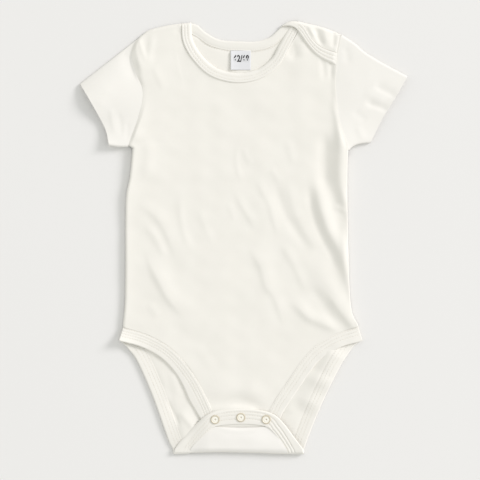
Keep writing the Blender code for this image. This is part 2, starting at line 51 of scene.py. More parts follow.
CLOTH = 1.0              # cotton jersey as it shows at an edge
EDGE_ROUND = 0.8         # how far in from an edge it reaches that thickness
BACK_WALL = 1.2          # the back lies on the table, so its inner face is at this height
NECK_WIDTH = 9.8         # of the front's neck binding
BACK_NECK_WIDTH = 8.8

# Crotch fold, where the end of the back turns up over the front: a flattened roll in section
FOLD_Y = -209.4          # its edge
FOLD_RADIUS = 2.9        # half its height
FOLD_REACH = 5.0         # how far in front of its edge it starts to turn
FOLD_START_Y = FOLD_Y + FOLD_REACH
FOLD_LENGTH = pi * (FOLD_RADIUS - BACK_WALL / 2)
FOLD_SAG_REACH = 12      # how far from the edge its sags die out
FLAP_PRESS = 0.34        # share of its height that the flap loses toward its left end
FLAP_PRESS_X, FLAP_PRESS_RUN = -32, 22   # where that starts, and over how much it comes
Sag = namedtuple("Sag", "x width height")
FOLD_SAGS = (Sag(-24, 26, 1.9), Sag(12, 16, 0.7))

# Curves of the cut, as points to pass through, from the crotch or underarm up and from left to right
FRONT_LEG_LEFT = ((-22, -190), (-31, -165), (-47, -133.5), (-68, -108.5), (-92, -94), (-116.5, -86.5))
FRONT_LEG_RIGHT = ((17, -190), (27, -164), (44.5, -137), (65, -109), (88, -93.5), (112, -85.5))
SIDE_LEFT = ((-116.5, -86.5), (-114, -54), (-113.7, 18), (-113, 42), (-109.5, 60), (-106.7, 87.6))
SIDE_RIGHT = ((112, -85.5), (104.5, -65.5), (102, -10), (101, 50), (101.5, 83.8))
ARMHOLE_LEFT = ((-111.5, 88.8), (-100.5, 119), (-96.5, 142), (-103.5, 161.5), (-107.5, 178), (-103.5, 193))
ARMHOLE_RIGHT = ((102.6, 85.6), (93, 116), (89.5, 146), (91, 172), (95.5, 198))
SHOULDER_LEFT = ((-103.5, 193), (-92, 202), (-76, 206.5), (-60, 209))
SHOULDER_RIGHT = ((50, 211), (63, 208.8), (80, 204.5), (95.5, 198))
FRONT_NECK = ((-60, 209), (-58, 190), (-47.5, 172), (-30, 157), (-5, 151), (18, 155.5), (35, 168.5),
              (44, 184), (51, 196.5), (54.3, 201.5))
HIDDEN_SHOULDER = ((54.5, 202), (60, 204.2), (67, 203.4), (80, 199.6), (94, 193.2))
BACK_NECK_TOP = ((-52, 209.5), (-44, 207), (-36, 200), (-22, 193), (-2, 191.5), (14, 191.5),
                 (26, 195.5), (33, 201.5), (39, 207), (47, 210.8))
BACK_LEG_LEFT = ((-55.2, FOLD_START_Y), (-61, -190), (-76, -148), (-91.5, -113), (-103, -97.5), (-111, -90),
                 (-116.5, -86.5))
BACK_LEG_RIGHT = ((46.4, FOLD_START_Y), (52, -187), (65.5, -154), (82, -120), (96, -99), (105.5, -90),
                  (112, -85.5))
# the flap's rounded corners, down to the fold, and its seam over both of them from left to right
FLAP_LEFT = ((-26, -182), (-34, -187), (-45, -199), (-49.5, FOLD_START_Y))
FLAP_RIGHT = ((21.5, -182), (28, -186), (36, -196), (41.4, FOLD_START_Y))
FLAP_SEAM = FLAP_LEFT[::-1] + ((-14, -180.4), (-2, -179.8), (10, -180.2)) + FLAP_RIGHT
FLAP_TOP = ((-26, -182.3), (-14, -183.2), (-1, -183.4), (12, -183.2), (21.5, -182.3))
LAP_FOLD = ((54, 211),) + SHOULDER_RIGHT[1:]     # where the back turns over the front
LAP_SEAM = ((53, 210.6), (58.5, 206.8), (62.5, 200.5), (66.7, 193.8), (72, 188.3), (79.2, 184), (91.4, 180))
# the lap's binding: its seam with the turn over the shoulder's fold, and its free edge
LAP_BAND_SEAM = ((37.4, 206.8), (43, 209.8), (48, 211.2)) + LAP_SEAM
LAP_BAND_EDGE = ((37.8, 206.2), (45, 206.2), (51, 203.8), (55, 199), (61.5, 189.4), (66.7, 183.1),
                 (71.9, 177.9), (79.2, 173.2), (90.3, 168.4))
SLEEVE_TOP_LEFT = ((-103.5, 193), (-119.5, 180.5), (-158.5, 150))
SLEEVE_TOP_RIGHT = ((95.5, 198), (109, 189), (118.7, 180.6), (137.5, 169.2), (159.5, 157.5))
CUFF_LEFT = ((-158.5, 150), (-149, 134.5), (-134.5, 108), (-131, 96), (-130, 89.9))
CUFF_RIGHT = ((159.5, 157.5), (150.5, 141), (142.5, 128), (133, 112), (124, 93))
UNDERARM_LEFT = ((-111.5, 88.8), (-120, 88.6), (-130, 89.9))
UNDERARM_RIGHT = ((102.6, 85.6), (106.5, 89), (113, 91.6), (124, 93))

# Widths of the sewn strips: share of a strip's length from its first end, and width there
BandWidth = namedtuple("BandWidth", "share width")
FRONT_LEG_BAND_LEFT = (BandWidth(0, 12.8), BandWidth(0.12, 13.2), BandWidth(0.22, 15.2),
                       BandWidth(0.3, 16), BandWidth(0.4, 14.8), BandWidth(0.56, 13.4), BandWidth(1, 13))
FRONT_LEG_BAND_RIGHT = (BandWidth(0, 13), BandWidth(0.6, 13.2), BandWidth(1, 14.6))

SNAPS = {"snap_left": (-27.0, -175.5), "snap_middle": (-2.0, -173.5), "snap_right": (22.5, -175.5)}
SNAP_FLOOR = 6.5         # height that the studs stand on

# Creases: the line along the crest, its widths to the left and right of that line's direction, and its
# height, which is negative for a trough
Crease = namedtuple("Crease", "line left right height")
FRONT_CREASES = (
    # right side: the raised side seam with the deep trough beside it, and long folds below it
    Crease(((95, 122), (95.8, 100), (96, 86), (95, 66), (95.8, 52), (99.4, 40), (104.4, 26), (110.5, 12)),
           11.5, 7.8, 4.4),
    Crease(((91, 141), (92.6, 126), (93.6, 112), (94.6, 96), (95, 80)), 8.0, 4.8, 1.9),
    Crease(((77, 108), (79, 92), (78.6, 74), (79.4, 56), (84.2, 40)), 5.5, 6.5, -1.6),
    Crease(((70, 67), (73, 49), (76, 31), (83.5, 8.4), (93.5, -9.2), (101, -29), (106, -44), (110, -56)),
           9.5, 7.0, 3.7),
    Crease(((63, 58), (65, 43), (68, 27), (76.5, 3), (86, -15), (93, -34)), 5.0, 4.0, -0.9),
    Crease(((30, 57), (33.6, 45), (40.6, 25), (49.3, 9.5), (60, -6), (67, -14)), 4.0, 4.5, -0.7),
    Crease(((43, 58), (46, 44), (51, 27), (59, 10), (68, -3), (74, -12)), 7.0, 4.2, 0.7),
    Crease(((58, -12), (71, -28), (81, -42), (89, -54), (97, -66), (107, -78), (115, -90)),
           12.0, 14.0, 1.7),
    Crease(((80, -48), (87, -58.5), (93.8, -68), (101, -77.5), (108, -86), (117, -96)), 9.0, 4.6, 1.7),
    Crease(((62, -46), (71, -54), (79, -65), (87, -78), (97, -88)), 4.5, 5.0, -0.7),
    Crease(((42, -56), (54, -67), (64.5, -76.5), (76.5, -81.5), (88, -86.5), (99, -90)), 7.5, 4.5, 1.7),
    Crease(((86, 32), (92, 29.5), (97, 27.5), (102, 25)), 2.4, 2.4, 0.6),
    Crease(((98, 24), (99, 8), (99.6, -8), (101.5, -26)), 8.0, 5.0, 1.3),
    # left side, and the fine ones in the middle
    Crease(((-94, -9), (-88.5, -27), (-80.7, -42.6), (-73.9, -55.4), (-65.1, -66.4), (-51, -80)),
           11.0, 3.9, 1.35),
    Crease(((-104, 38), (-94, 30), (-84, 22), (-76, 10), (-69, -5), (-60, -28)), 10.0, 4.0, 0.6),
    Crease(((-99, 27), (-90, 19), (-82, 9), (-75, -6), (-69, -20)), 4.0, 6.0, -0.35),
    Crease(((-97, 14), (-87.5, 4.4), (-79.7, -9.2), (-74, -20)), 4.0, 3.6, 0.55),
    Crease(((14, 60), (18.5, 46.5), (25.4, 34.5), (31.2, 14), (36, -1)), 5.0, 3.0, 0.55),
    Crease(((-4.4, 93), (-6.3, 76.3), (-4.4, 64.6), (-0.5, 53)), 3.0, 2.6, 0.3),
    Crease(((0, 90), (3, 80), (9.5, 70)), 3.0, 2.6, 0.25),
    Crease(((-11, 52), (-2.8, 35.5), (3, 25), (8, 17.5), (14, 6)), 5.0, 2.8, 0.55),
    Crease(((-15, 36), (-11, 26), (-8, 16)), 3.4, 3.0, 0.3),
    Crease(((-61.5, 46), (-60.3, 22.8), (-56.4, 3.4), (-47.5, -15)), 4.0, 3.5, 0.4),
    Crease(((6, -6), (10.5, -14), (18.6, -29.6), (22.8, -45.5), (31.6, -57.2), (38, -76), (44, -88)),
           8.5, 3.8, 0.85),
    Crease(((38, -4), (42.5, -13), (51, -28), (57, -41), (62, -52)), 5.0, 3.6, 0.6),
    Crease(((-92, -62), (-87, -69), (-81, -77)), 4.5, 4.0, 0.5),
    Crease(((-48, -101), (-38, -114), (-25, -130)), 6.0, 5.5, 0.4),
    Crease(((-43, 30), (-37, 12), (-28, -7)), 4.0, 3.6, 0.3),
    Crease(((43, 98), (46, 84), (50.5, 69)), 4.5, 4.0, 0.4),
    Crease(((27, 69), (31, 62), (37, 53)), 3.2, 3.0, 0.3),
    # ridge over the hidden lap of the left shoulder, and pleats near that armhole
    Crease(((-64, 196), (-72, 182), (-79.7, 171.6), (-87, 163), (-83, 150)), 7.0, 7.0, 0.4),
    Crease(((-103, 203), (-103.6, 190), (-102.3, 178), (-99.5, 167), (-95.5, 156)), 8.0, 2.6, 1.3),
    Crease(((-103, 199), (-100.6, 191), (-98.2, 183), (-95.6, 176), (-93.5, 170)), 2.4, 1.8, 0.75),
    Crease(((-87.5, 203), (-88.8, 192), (-90, 183), (-91, 175), (-92, 166)), 3.6, 3.2, 0.8),
    Crease(((-101, 180), (-99.5, 171), (-98.3, 162), (-96.8, 153), (-94.5, 143)), 11.0, 4.4, 0.95),
    # soft folds that run down from the left armhole
    Crease(((-99, 136), (-101, 125), (-103.5, 115), (-105, 106), (-102, 97), (-98, 88)), 10.0, 5.0, 0.9),
    Crease(((-97, 104), (-93, 94), (-91.5, 85), (-92, 74), (-94, 64), (-96, 54)), 7.0, 5.5, 0.75),
    Crease(((-87, 169), (-84, 160), (-80, 151), (-76, 141)), 4.5, 2.6, 0.35),
    # dent where the left shoulder meets the neck
    Crease(((-62, 207), (-64, 198)), 3.0, 3.0, -0.6),
    # under the right lap
    Crease(((44, 195), (46.3, 187), (48.6, 180), (52, 171)), 4.6, 4.6, -1.7),
    Crease(((56, 191), (58.5, 184), (61, 175)), 5.0, 4.5, 0.6),
    Crease(((76.5, 176), (78, 167), (79, 152)), 2.8, 2.8, -0.75),
    Crease(((85, 174), (86, 165), (86.5, 152)), 2.6, 2.6, -0.75),
    # puff above the snap band
    Crease(((-40, -173), (-20, -167), (-4, -165.5), (12, -167), (32, -174)), 5.0, 5.0, 2.2),
    Crease(((-31, -170.5), (-25, -164), (-16, -160.5), (-6, -160), (4, -161.5), (12, -164.5), (19, -169),
            (25, -175)), 5.6, 3.2, -2.1),
    Crease(((-38, -153), (-22, -147), (-6, -145.5), (10, -148), (28, -155)), 12.0, 7.0, 1.2),
)
SLEEVE_CREASES_LEFT = (
    Crease(((-105.5, 197), (-109, 186), (-110, 174), (-106.5, 162), (-101, 150)), 3.0, 8.0, -1.2),
    Crease(((-122, 124), (-119, 112), (-118, 97)), 3.0, 2.8, -0.3),
    Crease(((-112, 114), (-112, 104), (-113, 94)), 2.6, 2.6, -0.25),
    Crease(((-128, 128), (-127, 116), (-124, 100)), 3.0, 3.0, 0.3),
    Crease(((-128, 150), (-137, 138), (-143, 127)), 7.0, 7.0, 0.3),
)
SLEEVE_CREASES_RIGHT = (
    Crease(((126, 150), (134, 145), (142, 141), (151, 136)), 5.5, 3.0, -0.8),
    Crease(((117, 133), (126, 129.5), (134, 127), (145, 122)), 4.5, 3.0, -1.0),
    Crease(((116, 143), (124, 139), (132, 135), (140, 132)), 5.0, 5.0, 0.4),
    Crease(((106, 125), (113, 119), (121, 113)), 4.0, 4.0, -0.35),
    Crease(((98, 188), (101, 178), (101, 168)), 3.6, 3.6, -0.4),
    Crease(((110, 110), (114, 102), (118, 92)), 4.0, 3.4, 0.35),
)
LAP_CREASES = (
    Crease(((69.5, 208), (72, 199), (75, 190), (76.5, 184)), 3.4, 3.2, -1.5),
    Crease(((78, 206), (80, 198), (82, 187)), 3.0, 3.0, 0.6),
    Crease(((88.4, 204), (88, 193), (87.4, 183)), 2.6, 2.6, -0.9),
    Crease(((62, 208), (66, 201), (70, 194)), 3.0, 3.0, 0.5),
)
# on the back where it shows below the front's legs, and out of sight under the garment
BACK_CREASES = (
    Crease(((-72, -128), (-66, -142), (-61, -156)), 5.0, 4.0, 0.5),
    Crease(((-76, -140), (-72, -156), (-66, -172), (-61, -190)), 3.6, 3.6, -0.6),
    Crease(((-63, -166), (-57, -173.5), (-51, -180), (-46, -186)), 6.0, 3.0, 1.0),
    Crease(((42, -148), (44, -160), (45, -172)), 7.0, 7.0, 0.9),
    Crease(((-60, 60), (-30, 20), (-6, -40)), 5.0, 5.0, 0.9),
    Crease(((62, 90), (50, 30), (58, -30)), 5.0, 5.0, 0.8),
    Crease(((-20, 150), (-12, 110), (10, 70)), 5.0, 5.0, 0.7),
    Crease(((20, -70), (44, -96), (70, -106)), 4.5, 4.5, 0.8),
    Crease(((-88, -20), (-70, -62), (-44, -100)), 5.0, 5.0, 0.8),
)
# folds that run on from the back into its leg binding
BACK_EDGE_CREASES = (
    Crease(((-74, -154), (-71, -162), (-67.5, -169.5), (-64, -177), (-61, -185)), 1.7, 1.7, -0.7),
    Crease(((-54, -168), (-54, -182), (-54, -192), (-54, -202), (-54, -216)), 12.0, 12.0, 1.3),
    Crease(((96, -99), (90, -110), (85.5, -120), (82, -130), (78.5, -140), (73, -153)), 15.0, 11.0, 3.9),
    Crease(((75.5, -127), (72, -136), (68.5, -144.5), (65, -152.5), (61.5, -160.5), (57, -170)),
           13.0, 12.5, 3.1),
)
FLAP_CREASES = (
    Crease(((-40, -196), (-18, -192), (6, -193), (32, -197)), 7.0, 7.0, 0.8),
    Crease(((-24, -185), (-4, -186.5), (20, -185)), 2.4, 2.6, 0.5),
)


# ---------------------------------------------------------------- curves

def smooth_line(points, steps=12):
    """Dense points on a Catmull-Rom spline through the given ones."""
    given = np.array(points, float)
    ends = np.vstack([2 * given[0] - given[1], given, 2 * given[-1] - given[-2]])
    t = np.linspace(0, 1, steps, endpoint=False)[:, None]
    spans = []
    for before, start, end, after in zip(ends, ends[1:], ends[2:], ends[3:]):
        bend = 2 * before - 5 * start + 4 * end - after
        twist = 3 * (start - end) + after - before
        spans.append(start + 0.5 * ((end - before) * t + bend * t**2 + twist * t**3))
    return np.vstack(spans + [given[-1:]])


def lengths_along(line):
    """Distance of each point from the line's start, along it."""
    return np.r_[0, np.cumsum(np.linalg.norm(np.diff(line, axis=0), axis=1))]


def at_lengths(line, wanted):
    """Points of the line at the given distances along it."""
    length = lengths_along(line)
    return np.column_stack([np.interp(wanted, length, line[:, i]) for i in range(line.shape[1])])


def along(points, shares):
    """Points on the smooth line; `shares` is a count of equal parts or a list of shares."""
    line = smooth_line(points)
    if np.isscalar(shares):
        shares = np.linspace(0, 1, shares + 1)
    return at_lengths(line, shares * lengths_along(line)[-1])


def unit(vectors):
    """The vectors at length 1."""
    return vectors / np.maximum(np.linalg.norm(vectors, axis=-1, keepdims=True), 1e-9)


def offset(line, distance):
    """The line moved sideways in plan, to the left of its direction."""
    run = unit(np.gradient(line, axis=0))
    return line + np.reshape(distance, (-1, 1)) * np.column_stack([-run[:, 1], run[:, 0]])


def soft_step(value):
    """0 up to 0 and 1 from 1, eased in between."""
    value = np.clip(value, 0, 1)
    return value * value * (3 - 2 * value)


def rounded(distance, radius):
    """0 at an edge, rising along a quarter circle to 1 at `radius` from it."""
    t = np.clip(distance / radius, 0, 1)
    return np.sqrt(1 - (1 - t) ** 2)


def quick_rise(distance, radius):
    """0 at an edge, rising evenly at first and easing out to 1 at `radius` from it."""
    return 1 - (1 - np.clip(distance / radius, 0, 1)) ** 2


def bell(distance, width):
    """1 at 0, falling away on both sides."""
    return np.exp(-((distance / width) ** 2))


def toward(value, target, *shares):
    """The value moved to the target by the product of the shares."""
    gap = target - value
    for share in shares:
        gap = gap * share
    return value + gap


def soft_floor(value, ease):
    """The value where it is well above 0, levelling out at 0."""
    return 0.5 * (value + np.sqrt(value * value + ease * ease))


def table(rows, at):
    """Values of a table of shares and values at the given shares, eased between its rows."""
    smooth = smooth_line(rows, 8)
    return np.interp(at, smooth[:, 0], smooth[:, 1])


def spread(count, edge=(0.0, 0.0012, 0.0035, 0.008)):
    """Shares from 0 to 1, close together near both ends."""
    inner = np.linspace(edge[-1], 1 - edge[-1], count - 2 * len(edge) + 2)
    return np.r_[edge[:-1], inner, [1 - share for share in edge[-2::-1]]]


# ---------------------------------------------------------------- creases

CREASE_FADE = 0.3        # share of its line over which a crease rises at either end
CREASE_REACH = 3         # widths beyond which it is level


def crease_height(creases, x, y):
    """What the creases add at the points: a bell across each line, fading out at its ends."""
    total = np.zeros(x.shape)
    for crease in creases:
        line = smooth_line(crease.line, 5)
        low, high = line.min(axis=0), line.max(axis=0)
        reach = CREASE_REACH * max(crease.left, crease.right)
        near = (x > low[0] - reach) & (x < high[0] + reach) & (y > low[1] - reach) & (y < high[1] + reach)
        if not near.any():
            continue
        points = np.column_stack([x[near], y[near]])[:, None]
        start, run = line[:-1], np.diff(line, axis=0)
        share = np.clip(((points - start) * run).sum(-1) / (run * run).sum(-1), 0, 1)
        away = points - (start + share[..., None] * run)
        distance = np.linalg.norm(away, axis=-1)
        nearest = distance.argmin(axis=1)
        pick = (np.arange(len(nearest)), nearest)
        side = run[nearest, 0] * away[pick][:, 1] - run[nearest, 1] * away[pick][:, 0]
        width = np.where(side > 0, crease.left, crease.right)
        t = (nearest + share[pick]) / len(run)
        fade = soft_step(t / CREASE_FADE) * soft_step((1 - t) / CREASE_FADE)
        total[near] += crease.height * fade * bell(distance[pick], width)
    return total


def crumple(x, y, seed, height, longest=60.0, shortest=14.0, waves=22):
    """Faint uneven undulation of cloth that has been worn and smoothed by hand."""
    draw = np.random.default_rng(seed)
    total = np.zeros(x.shape)
    for length in np.geomspace(longest, shortest, waves):
        turn, phase = draw.uniform(0, pi), draw.uniform(0, 2 * pi)
        total += length * np.sin(2 * pi * (x * cos(turn) + y * sin(turn)) / length + phase)
    return height * total / (longest + shortest) / np.sqrt(waves)


# ---------------------------------------------------------------- meshes

def grid_faces(rows, columns, first, wrap=False):
    """Quads of a grid whose points are numbered row by row from `first`."""
    column = np.arange(columns if wrap else columns - 1)
    beside = (column + 1) % columns
    here = first + np.arange(rows - 1)[:, None] * columns
    quads = np.stack([here + column, here + beside, here + columns + beside, here + columns + column], -1)
    return quads.reshape(-1, 4)


def in_scene(name, data):
    """A new object of the data, linked to the scene."""
    made = bpy.data.objects.new(name, data)
    bpy.context.scene.collection.objects.link(made)
    return made


def outward(mesh):
    """Turns the faces of a closed mesh so that it encloses a positive volume."""
    mesh.calc_loop_triangles()
    count = len(mesh.loop_triangles)
    corners = np.zeros(count * 3, np.int32)
    mesh.loop_triangles.foreach_get("vertices", corners)
    at = np.zeros(len(mesh.vertices) * 3)
    mesh.vertices.foreach_get("co", at)
    a, b, c = at.reshape(-1, 3)[corners].reshape(count, 3, 3).transpose(1, 0, 2)
    if (a * np.cross(b, c)).sum() < 0:
        mesh.flip_normals()


def add_piece(name, points, faces, finish, nodes=(), at=(0, 0, 0)):
    """A smooth-shaded closed piece from points in millimetres, riding on the garment."""
    mesh = bpy.data.meshes.new(name)
    mesh.from_pydata(np.array(points, float) * MM, [], faces)
    mesh.validate()
    mesh.materials.append(finish)
    mesh.shade_smooth()
    outward(mesh)
    piece = in_scene(name, mesh)
    piece.location = Vector(at) * MM
    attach(piece, "root")
    if nodes:
        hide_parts(*nodes)
    return piece


def shell_faces(rows, columns):
    """Faces of a closed wall: an upper grid, an under grid and the rim between them."""
    count = rows * columns
    top = grid_faces(rows, columns, 0)
    under = grid_faces(rows, columns, count)[:, ::-1]
    rim = list(range(columns))
    rim += [row * columns + columns - 1 for row in range(1, rows)]
    rim += [(rows - 1) * columns + column for column in range(columns - 2, -1, -1)]
    rim += [row * columns for row in range(rows - 2, 0, -1)]
    here, after = np.array(rim), np.array(rim[1:] + rim[:1])
    wall = np.stack([after, here, here + count, after + count], -1)
    return np.vstack([top, under, wall]).tolist()


def add_shell(name, top, under, finish, nodes=()):
    """A closed wall between two grids of points: all of the upper ones, then the under ones."""
    points = np.vstack([top.reshape(-1, 3), under.reshape(-1, 3)])
    return add_piece(name, points, shell_faces(*top.shape[:2]), finish, nodes)


def at_height(plan, height):
    """The plan's points with their heights added."""
    return np.dstack([plan, np.broadcast_to(height, plan.shape[:2])])


def add_wall(name, plan, top, under, finish, nodes=()):
    """A closed wall over a plan, between the heights of its upper and under sides."""
    return add_shell(name, at_height(plan, top), at_height(plan, under), finish, nodes)


def edge_distances(plan):
    """Distance of each point from the left, right, first and last edges, along the grid's lines."""
    across = np.linalg.norm(np.diff(plan, axis=1), axis=-1)
    up = np.linalg.norm(np.diff(plan, axis=0), axis=-1)
    left = np.pad(np.cumsum(across, axis=1), ((0, 0), (1, 0)))
    first = np.pad(np.cumsum(up, axis=0), ((1, 0), (0, 0)))
    return left, left[:, -1:] - left, first, first[-1:] - first


def rim_share(distance, least, roll):
    """Share of its thickness that a cloth keeps at a distance from its edge."""
    return least + (1 - least) * rounded(distance, roll)


def rim_distance(plan):
    """Distance of each point from the nearest edge."""
    left, right, first, last = edge_distances(plan)
    return np.minimum(np.minimum(left, right), np.minimum(first, last))


def thinned(rim, thinnest):
    """Thickness of the jersey, worked down toward its edges."""
    return toward(thinnest, CLOTH, rounded(rim, EDGE_ROUND))


# ---------------------------------------------------------------- finishes

class Signal:
    """A number that varies over a surface; sums and products of it add Math nodes."""

    def __init__(self, finish, socket):
        self.finish = finish
        self.socket = socket

    def _math(self, operation, *values):
        return self.finish.node("ShaderNodeMath", {"operation": operation}, dict(enumerate(values)))

    def __add__(self, other):
        return self._math("ADD", self, other)

    def __sub__(self, other):
        return self._math("SUBTRACT", self, other)

    def __rsub__(self, other):
        return self._math("SUBTRACT", other, self)

    def __mul__(self, other):
        return self._math("MULTIPLY", self, other)

    def __pow__(self, other):
        return self._math("POWER", self, other)

    __radd__ = __add__
    __rmul__ = __mul__

    def sine(self):
        return self._math("SINE", self)

    def size(self):
        return self._math("ABSOLUTE", self)

    def part(self):
        return self._math("FRACT", self)

    def above(self, level):
        return self._math("GREATER_THAN", self, level)


class Finish:
    """One node material of the garment."""

    def __init__(self, name, **constants):
        self.material = bpy.data.materials.new(name)
        self.material.use_nodes = True
        self.tree = self.material.node_tree
        self.shader = self.tree.nodes["Principled BSDF"]
        for socket, value in constants.items():
            self.shader.inputs[socket.replace("_", " ")].default_value = value
        self.place = self.node("ShaderNodeTexCoord", output="Object")
        axes = self.node("ShaderNodeSeparateXYZ", inputs={0: self.place}, output=None)
        self.x, self.y, self.z = (Signal(self, axes.outputs[axis]) for axis in "XYZ")

    def node(self, kind, settings=None, inputs=None, output=0):
        """A node of a kind, with its settings made first and then its sockets' values or links."""
        made = self.tree.nodes.new(kind)
        for setting, value in (settings or {}).items():
            setattr(made, setting, value)
        for socket, value in (inputs or {}).items():
            if isinstance(value, Signal):
                self.tree.links.new(value.socket, made.inputs[socket])
            else:
                made.inputs[socket].default_value = value
        return made if output is None else Signal(self, made.outputs[output])

    def noise(self, scale, detail=2.0, roughness=0.5):
        return self.node("ShaderNodeTexNoise", inputs={
            "Vector": self.place, "Scale": scale, "Detail": detail, "Roughness": roughness}, output="Fac")

    def blend(self, share, first, second):
        """A colour between two colours."""
        return self.node("ShaderNodeMix", {"data_type": "RGBA"}, {0: share, 6: first, 7: second}, output=2)

    def feed(self, socket, signal):
        self.tree.links.new(signal.socket, self.shader.inputs[socket])

    def relief(self, height, strength, distance):
        """Fine relief of the surface, in metres of `distance` at full height."""
        self.feed("Normal", self.node("ShaderNodeBump", inputs={
            "Height": height, "Strength": strength, "Distance": distance}, output="Normal"))


def cotton_jersey(name, light, shade, wale=0.00062, course=0.0005):
    """Single jersey: columns of small V stitches, a faint fuzz and a slightly uneven tone."""
    cloth = Finish(name, Roughness=0.92, Sheen_Weight=0.18, Sheen_Roughness=0.55)
    cloth.shader.inputs["Specular IOR Level"].default_value = 0.22
    mottle = cloth.noise(scale=38.0, detail=4.0, roughness=0.6)
    fuzz = cloth.noise(scale=2600.0, detail=3.0, roughness=0.7)
    column = cloth.x * (1 / wale)
    leg = (column.part() - 0.5).size() * 2
    stitch = ((cloth.y * (1 / course) + leg * 0.7) * (2 * pi)).sine() * 0.5 + 0.5
    knit = (1 - leg * leg) * 0.6 + stitch * 0.4
    tone = mottle * 0.75 + fuzz * 0.15 + knit * 0.10
    cloth.feed("Base Color", cloth.blend(tone, shade, light))
    cloth.feed("Roughness", 0.86 + 0.1 * fuzz)
    cloth.relief(knit * 0.55 + fuzz * 0.45, strength=0.32, distance=0.00012)
    return cloth.material


def folded_binding(name, light, shade, rib=0.0009):
    """Binding strip of the same yarn, with a closer rib and a firmer surface."""
    cloth = Finish(name, Roughness=0.9, Sheen_Weight=0.16, Sheen_Roughness=0.5)
    cloth.shader.inputs["Specular IOR Level"].default_value = 0.22
    mottle = cloth.noise(scale=70.0, detail=3.0, roughness=0.55)
    fuzz = cloth.noise(scale=2400.0, detail=3.0, roughness=0.7)
    ribs = (((cloth.x + cloth.y * 0.35) * (2 * pi / rib)).sine() * 0.5 + 0.5) ** 1.4
    tone = mottle * 0.7 + ribs * 0.15 + fuzz * 0.15
    cloth.feed("Base Color", cloth.blend(tone, shade, light))
    cloth.feed("Roughness", 0.84 + 0.1 * fuzz)
    cloth.relief(ribs * 0.5 + fuzz * 0.5, strength=0.3, distance=0.00012)
    return cloth.material


def sewing_thread(name, light, shade, pitch=0.00035):
    """Spun thread with a fine twist."""
    thread = Finish(name, Roughness=0.6, Sheen_Weight=0.2, Sheen_Roughness=0.4)
    twist = ((thread.x + thread.y + thread.z) * (2 * pi / pitch)).sine() * 0.5 + 0.5
    thread.feed("Base Color", thread.blend(twist, shade, light))
    thread.feed("Roughness", 0.5 + 0.2 * twist)
    thread.relief(twist, strength=0.4, distance=0.00005)
    return thread.material


def woven_satin(name, light, shade, weft_pitch=0.00035, warp_pitch=0.0006):
    """Smooth label satin with fine weft lines."""
    satin = Finish(name, Roughness=0.5, Sheen_Weight=0.1, Sheen_Roughness=0.3)
    weft = (satin.y * (2 * pi / weft_pitch)).sine() * 0.5 + 0.5
    warp = (satin.x * (2 * pi / warp_pitch)).sine() * 0.5 + 0.5
    mottle = satin.noise(scale=300.0)
    satin.feed("Base Color", satin.blend(weft * 0.4 + mottle * 0.6, shade, light))
    satin.feed("Roughness", 0.42 + 0.16 * mottle)
    satin.relief(weft * 0.7 + warp * 0.3, strength=0.3, distance=0.00006)
    return satin.material


def woven_figures(name, colour, worn, pitch=0.0003):
    """Figures in dark yarn."""
    figures = Finish(name, Roughness=0.7)
    strands = (figures.y * (2 * pi / pitch)).sine() * 0.5 + 0.5
    tone = strands * 0.6 + figures.noise(scale=900.0) * 0.4
    figures.feed("Base Color", figures.blend(tone, colour, worn))
    figures.relief(strands, strength=0.4, distance=0.00005)
    return figures.material


def snap_enamel(name, ivory, ring, sheen, ring_inner=3.3, centre_radius=0.75):
    """Lacquered press stud: an ivory dish, with beige painted shade on its ring's outer side and in its
    centre dimple, and flecks of a paler painted sheen.
    """
    enamel = Finish(name, Roughness=0.35, Coat_Weight=0.25, Coat_Roughness=0.25)
    radius = (enamel.x * enamel.x + enamel.y * enamel.y) ** 0.5 * (1 / MM)
    mottle = enamel.noise(scale=900.0, detail=3.0)
    # painted shade: beige on the ring's rounded outer side and in the centre dimple
    rim = radius.above(ring_inner)
    centre = 1 - radius.above(centre_radius)
    shade = enamel.blend(rim + centre, ivory, ring)
    # painted sheen: flecks of a paler colour mottled over the stud
    enamel.feed("Base Color", enamel.blend(mottle * 0.18, shade, sheen))
    enamel.feed("Roughness", 0.3 + 0.15 * mottle)
    enamel.relief(mottle, strength=0.15, distance=0.00006)
    return enamel.material


def matt_table(name, light, shade):
    """Even matt surface with a very fine grain."""
    surface = Finish(name, Roughness=0.85)
    surface.shader.inputs["Specular IOR Level"].default_value = 0.1
    grain = surface.noise(scale=500.0, detail=4.0, roughness=0.6)
    cloud = surface.noise(scale=3.0)
    surface.feed("Base Color", surface.blend(cloud * 0.7 + grain * 0.3, shade, light))
    surface.relief(grain, strength=0.05, distance=0.0001)
    return surface.material


JERSEY = cotton_jersey("ivory_jersey", (0.840, 0.818, 0.763, 1), (0.812, 0.787, 0.728, 1))
# painted light: lighter, whiter copies of the jersey for the sleeves and the flap, which catch more light
# than the body
PALE_JERSEY = cotton_jersey("ivory_jersey_painted_lighter", (0.849, 0.829, 0.784, 1), (0.821, 0.798, 0.749, 1))
FLAP_JERSEY = cotton_jersey("ivory_jersey_flap_painted_lighter", (0.862, 0.841, 0.801, 1), (0.834, 0.810, 0.766, 1))
BINDING = folded_binding("ivory_binding", (0.842, 0.820, 0.770, 1), (0.808, 0.784, 0.726, 1))
THREAD = sewing_thread("ivory_thread", (0.87, 0.84, 0.78, 1), (0.80, 0.765, 0.69, 1))
SATIN = woven_satin("white_label_satin", (0.742, 0.743, 0.757, 1), (0.708, 0.709, 0.726, 1))
FIGURES = woven_figures("black_woven_figures", (0.012, 0.012, 0.014, 1), (0.05, 0.05, 0.055, 1))
# ivory, the beige of the snap's painted shade, and the paler colour of its painted sheen
ENAMEL = snap_enamel("lacquered_snap", (0.90, 0.87, 0.78, 1), (0.56, 0.49, 0.36, 1), (1.0, 0.98, 0.93, 1))
TABLE = matt_table("pale_table", (0.80, 0.79, 0.775, 1), (0.785, 0.775, 0.76, 1))


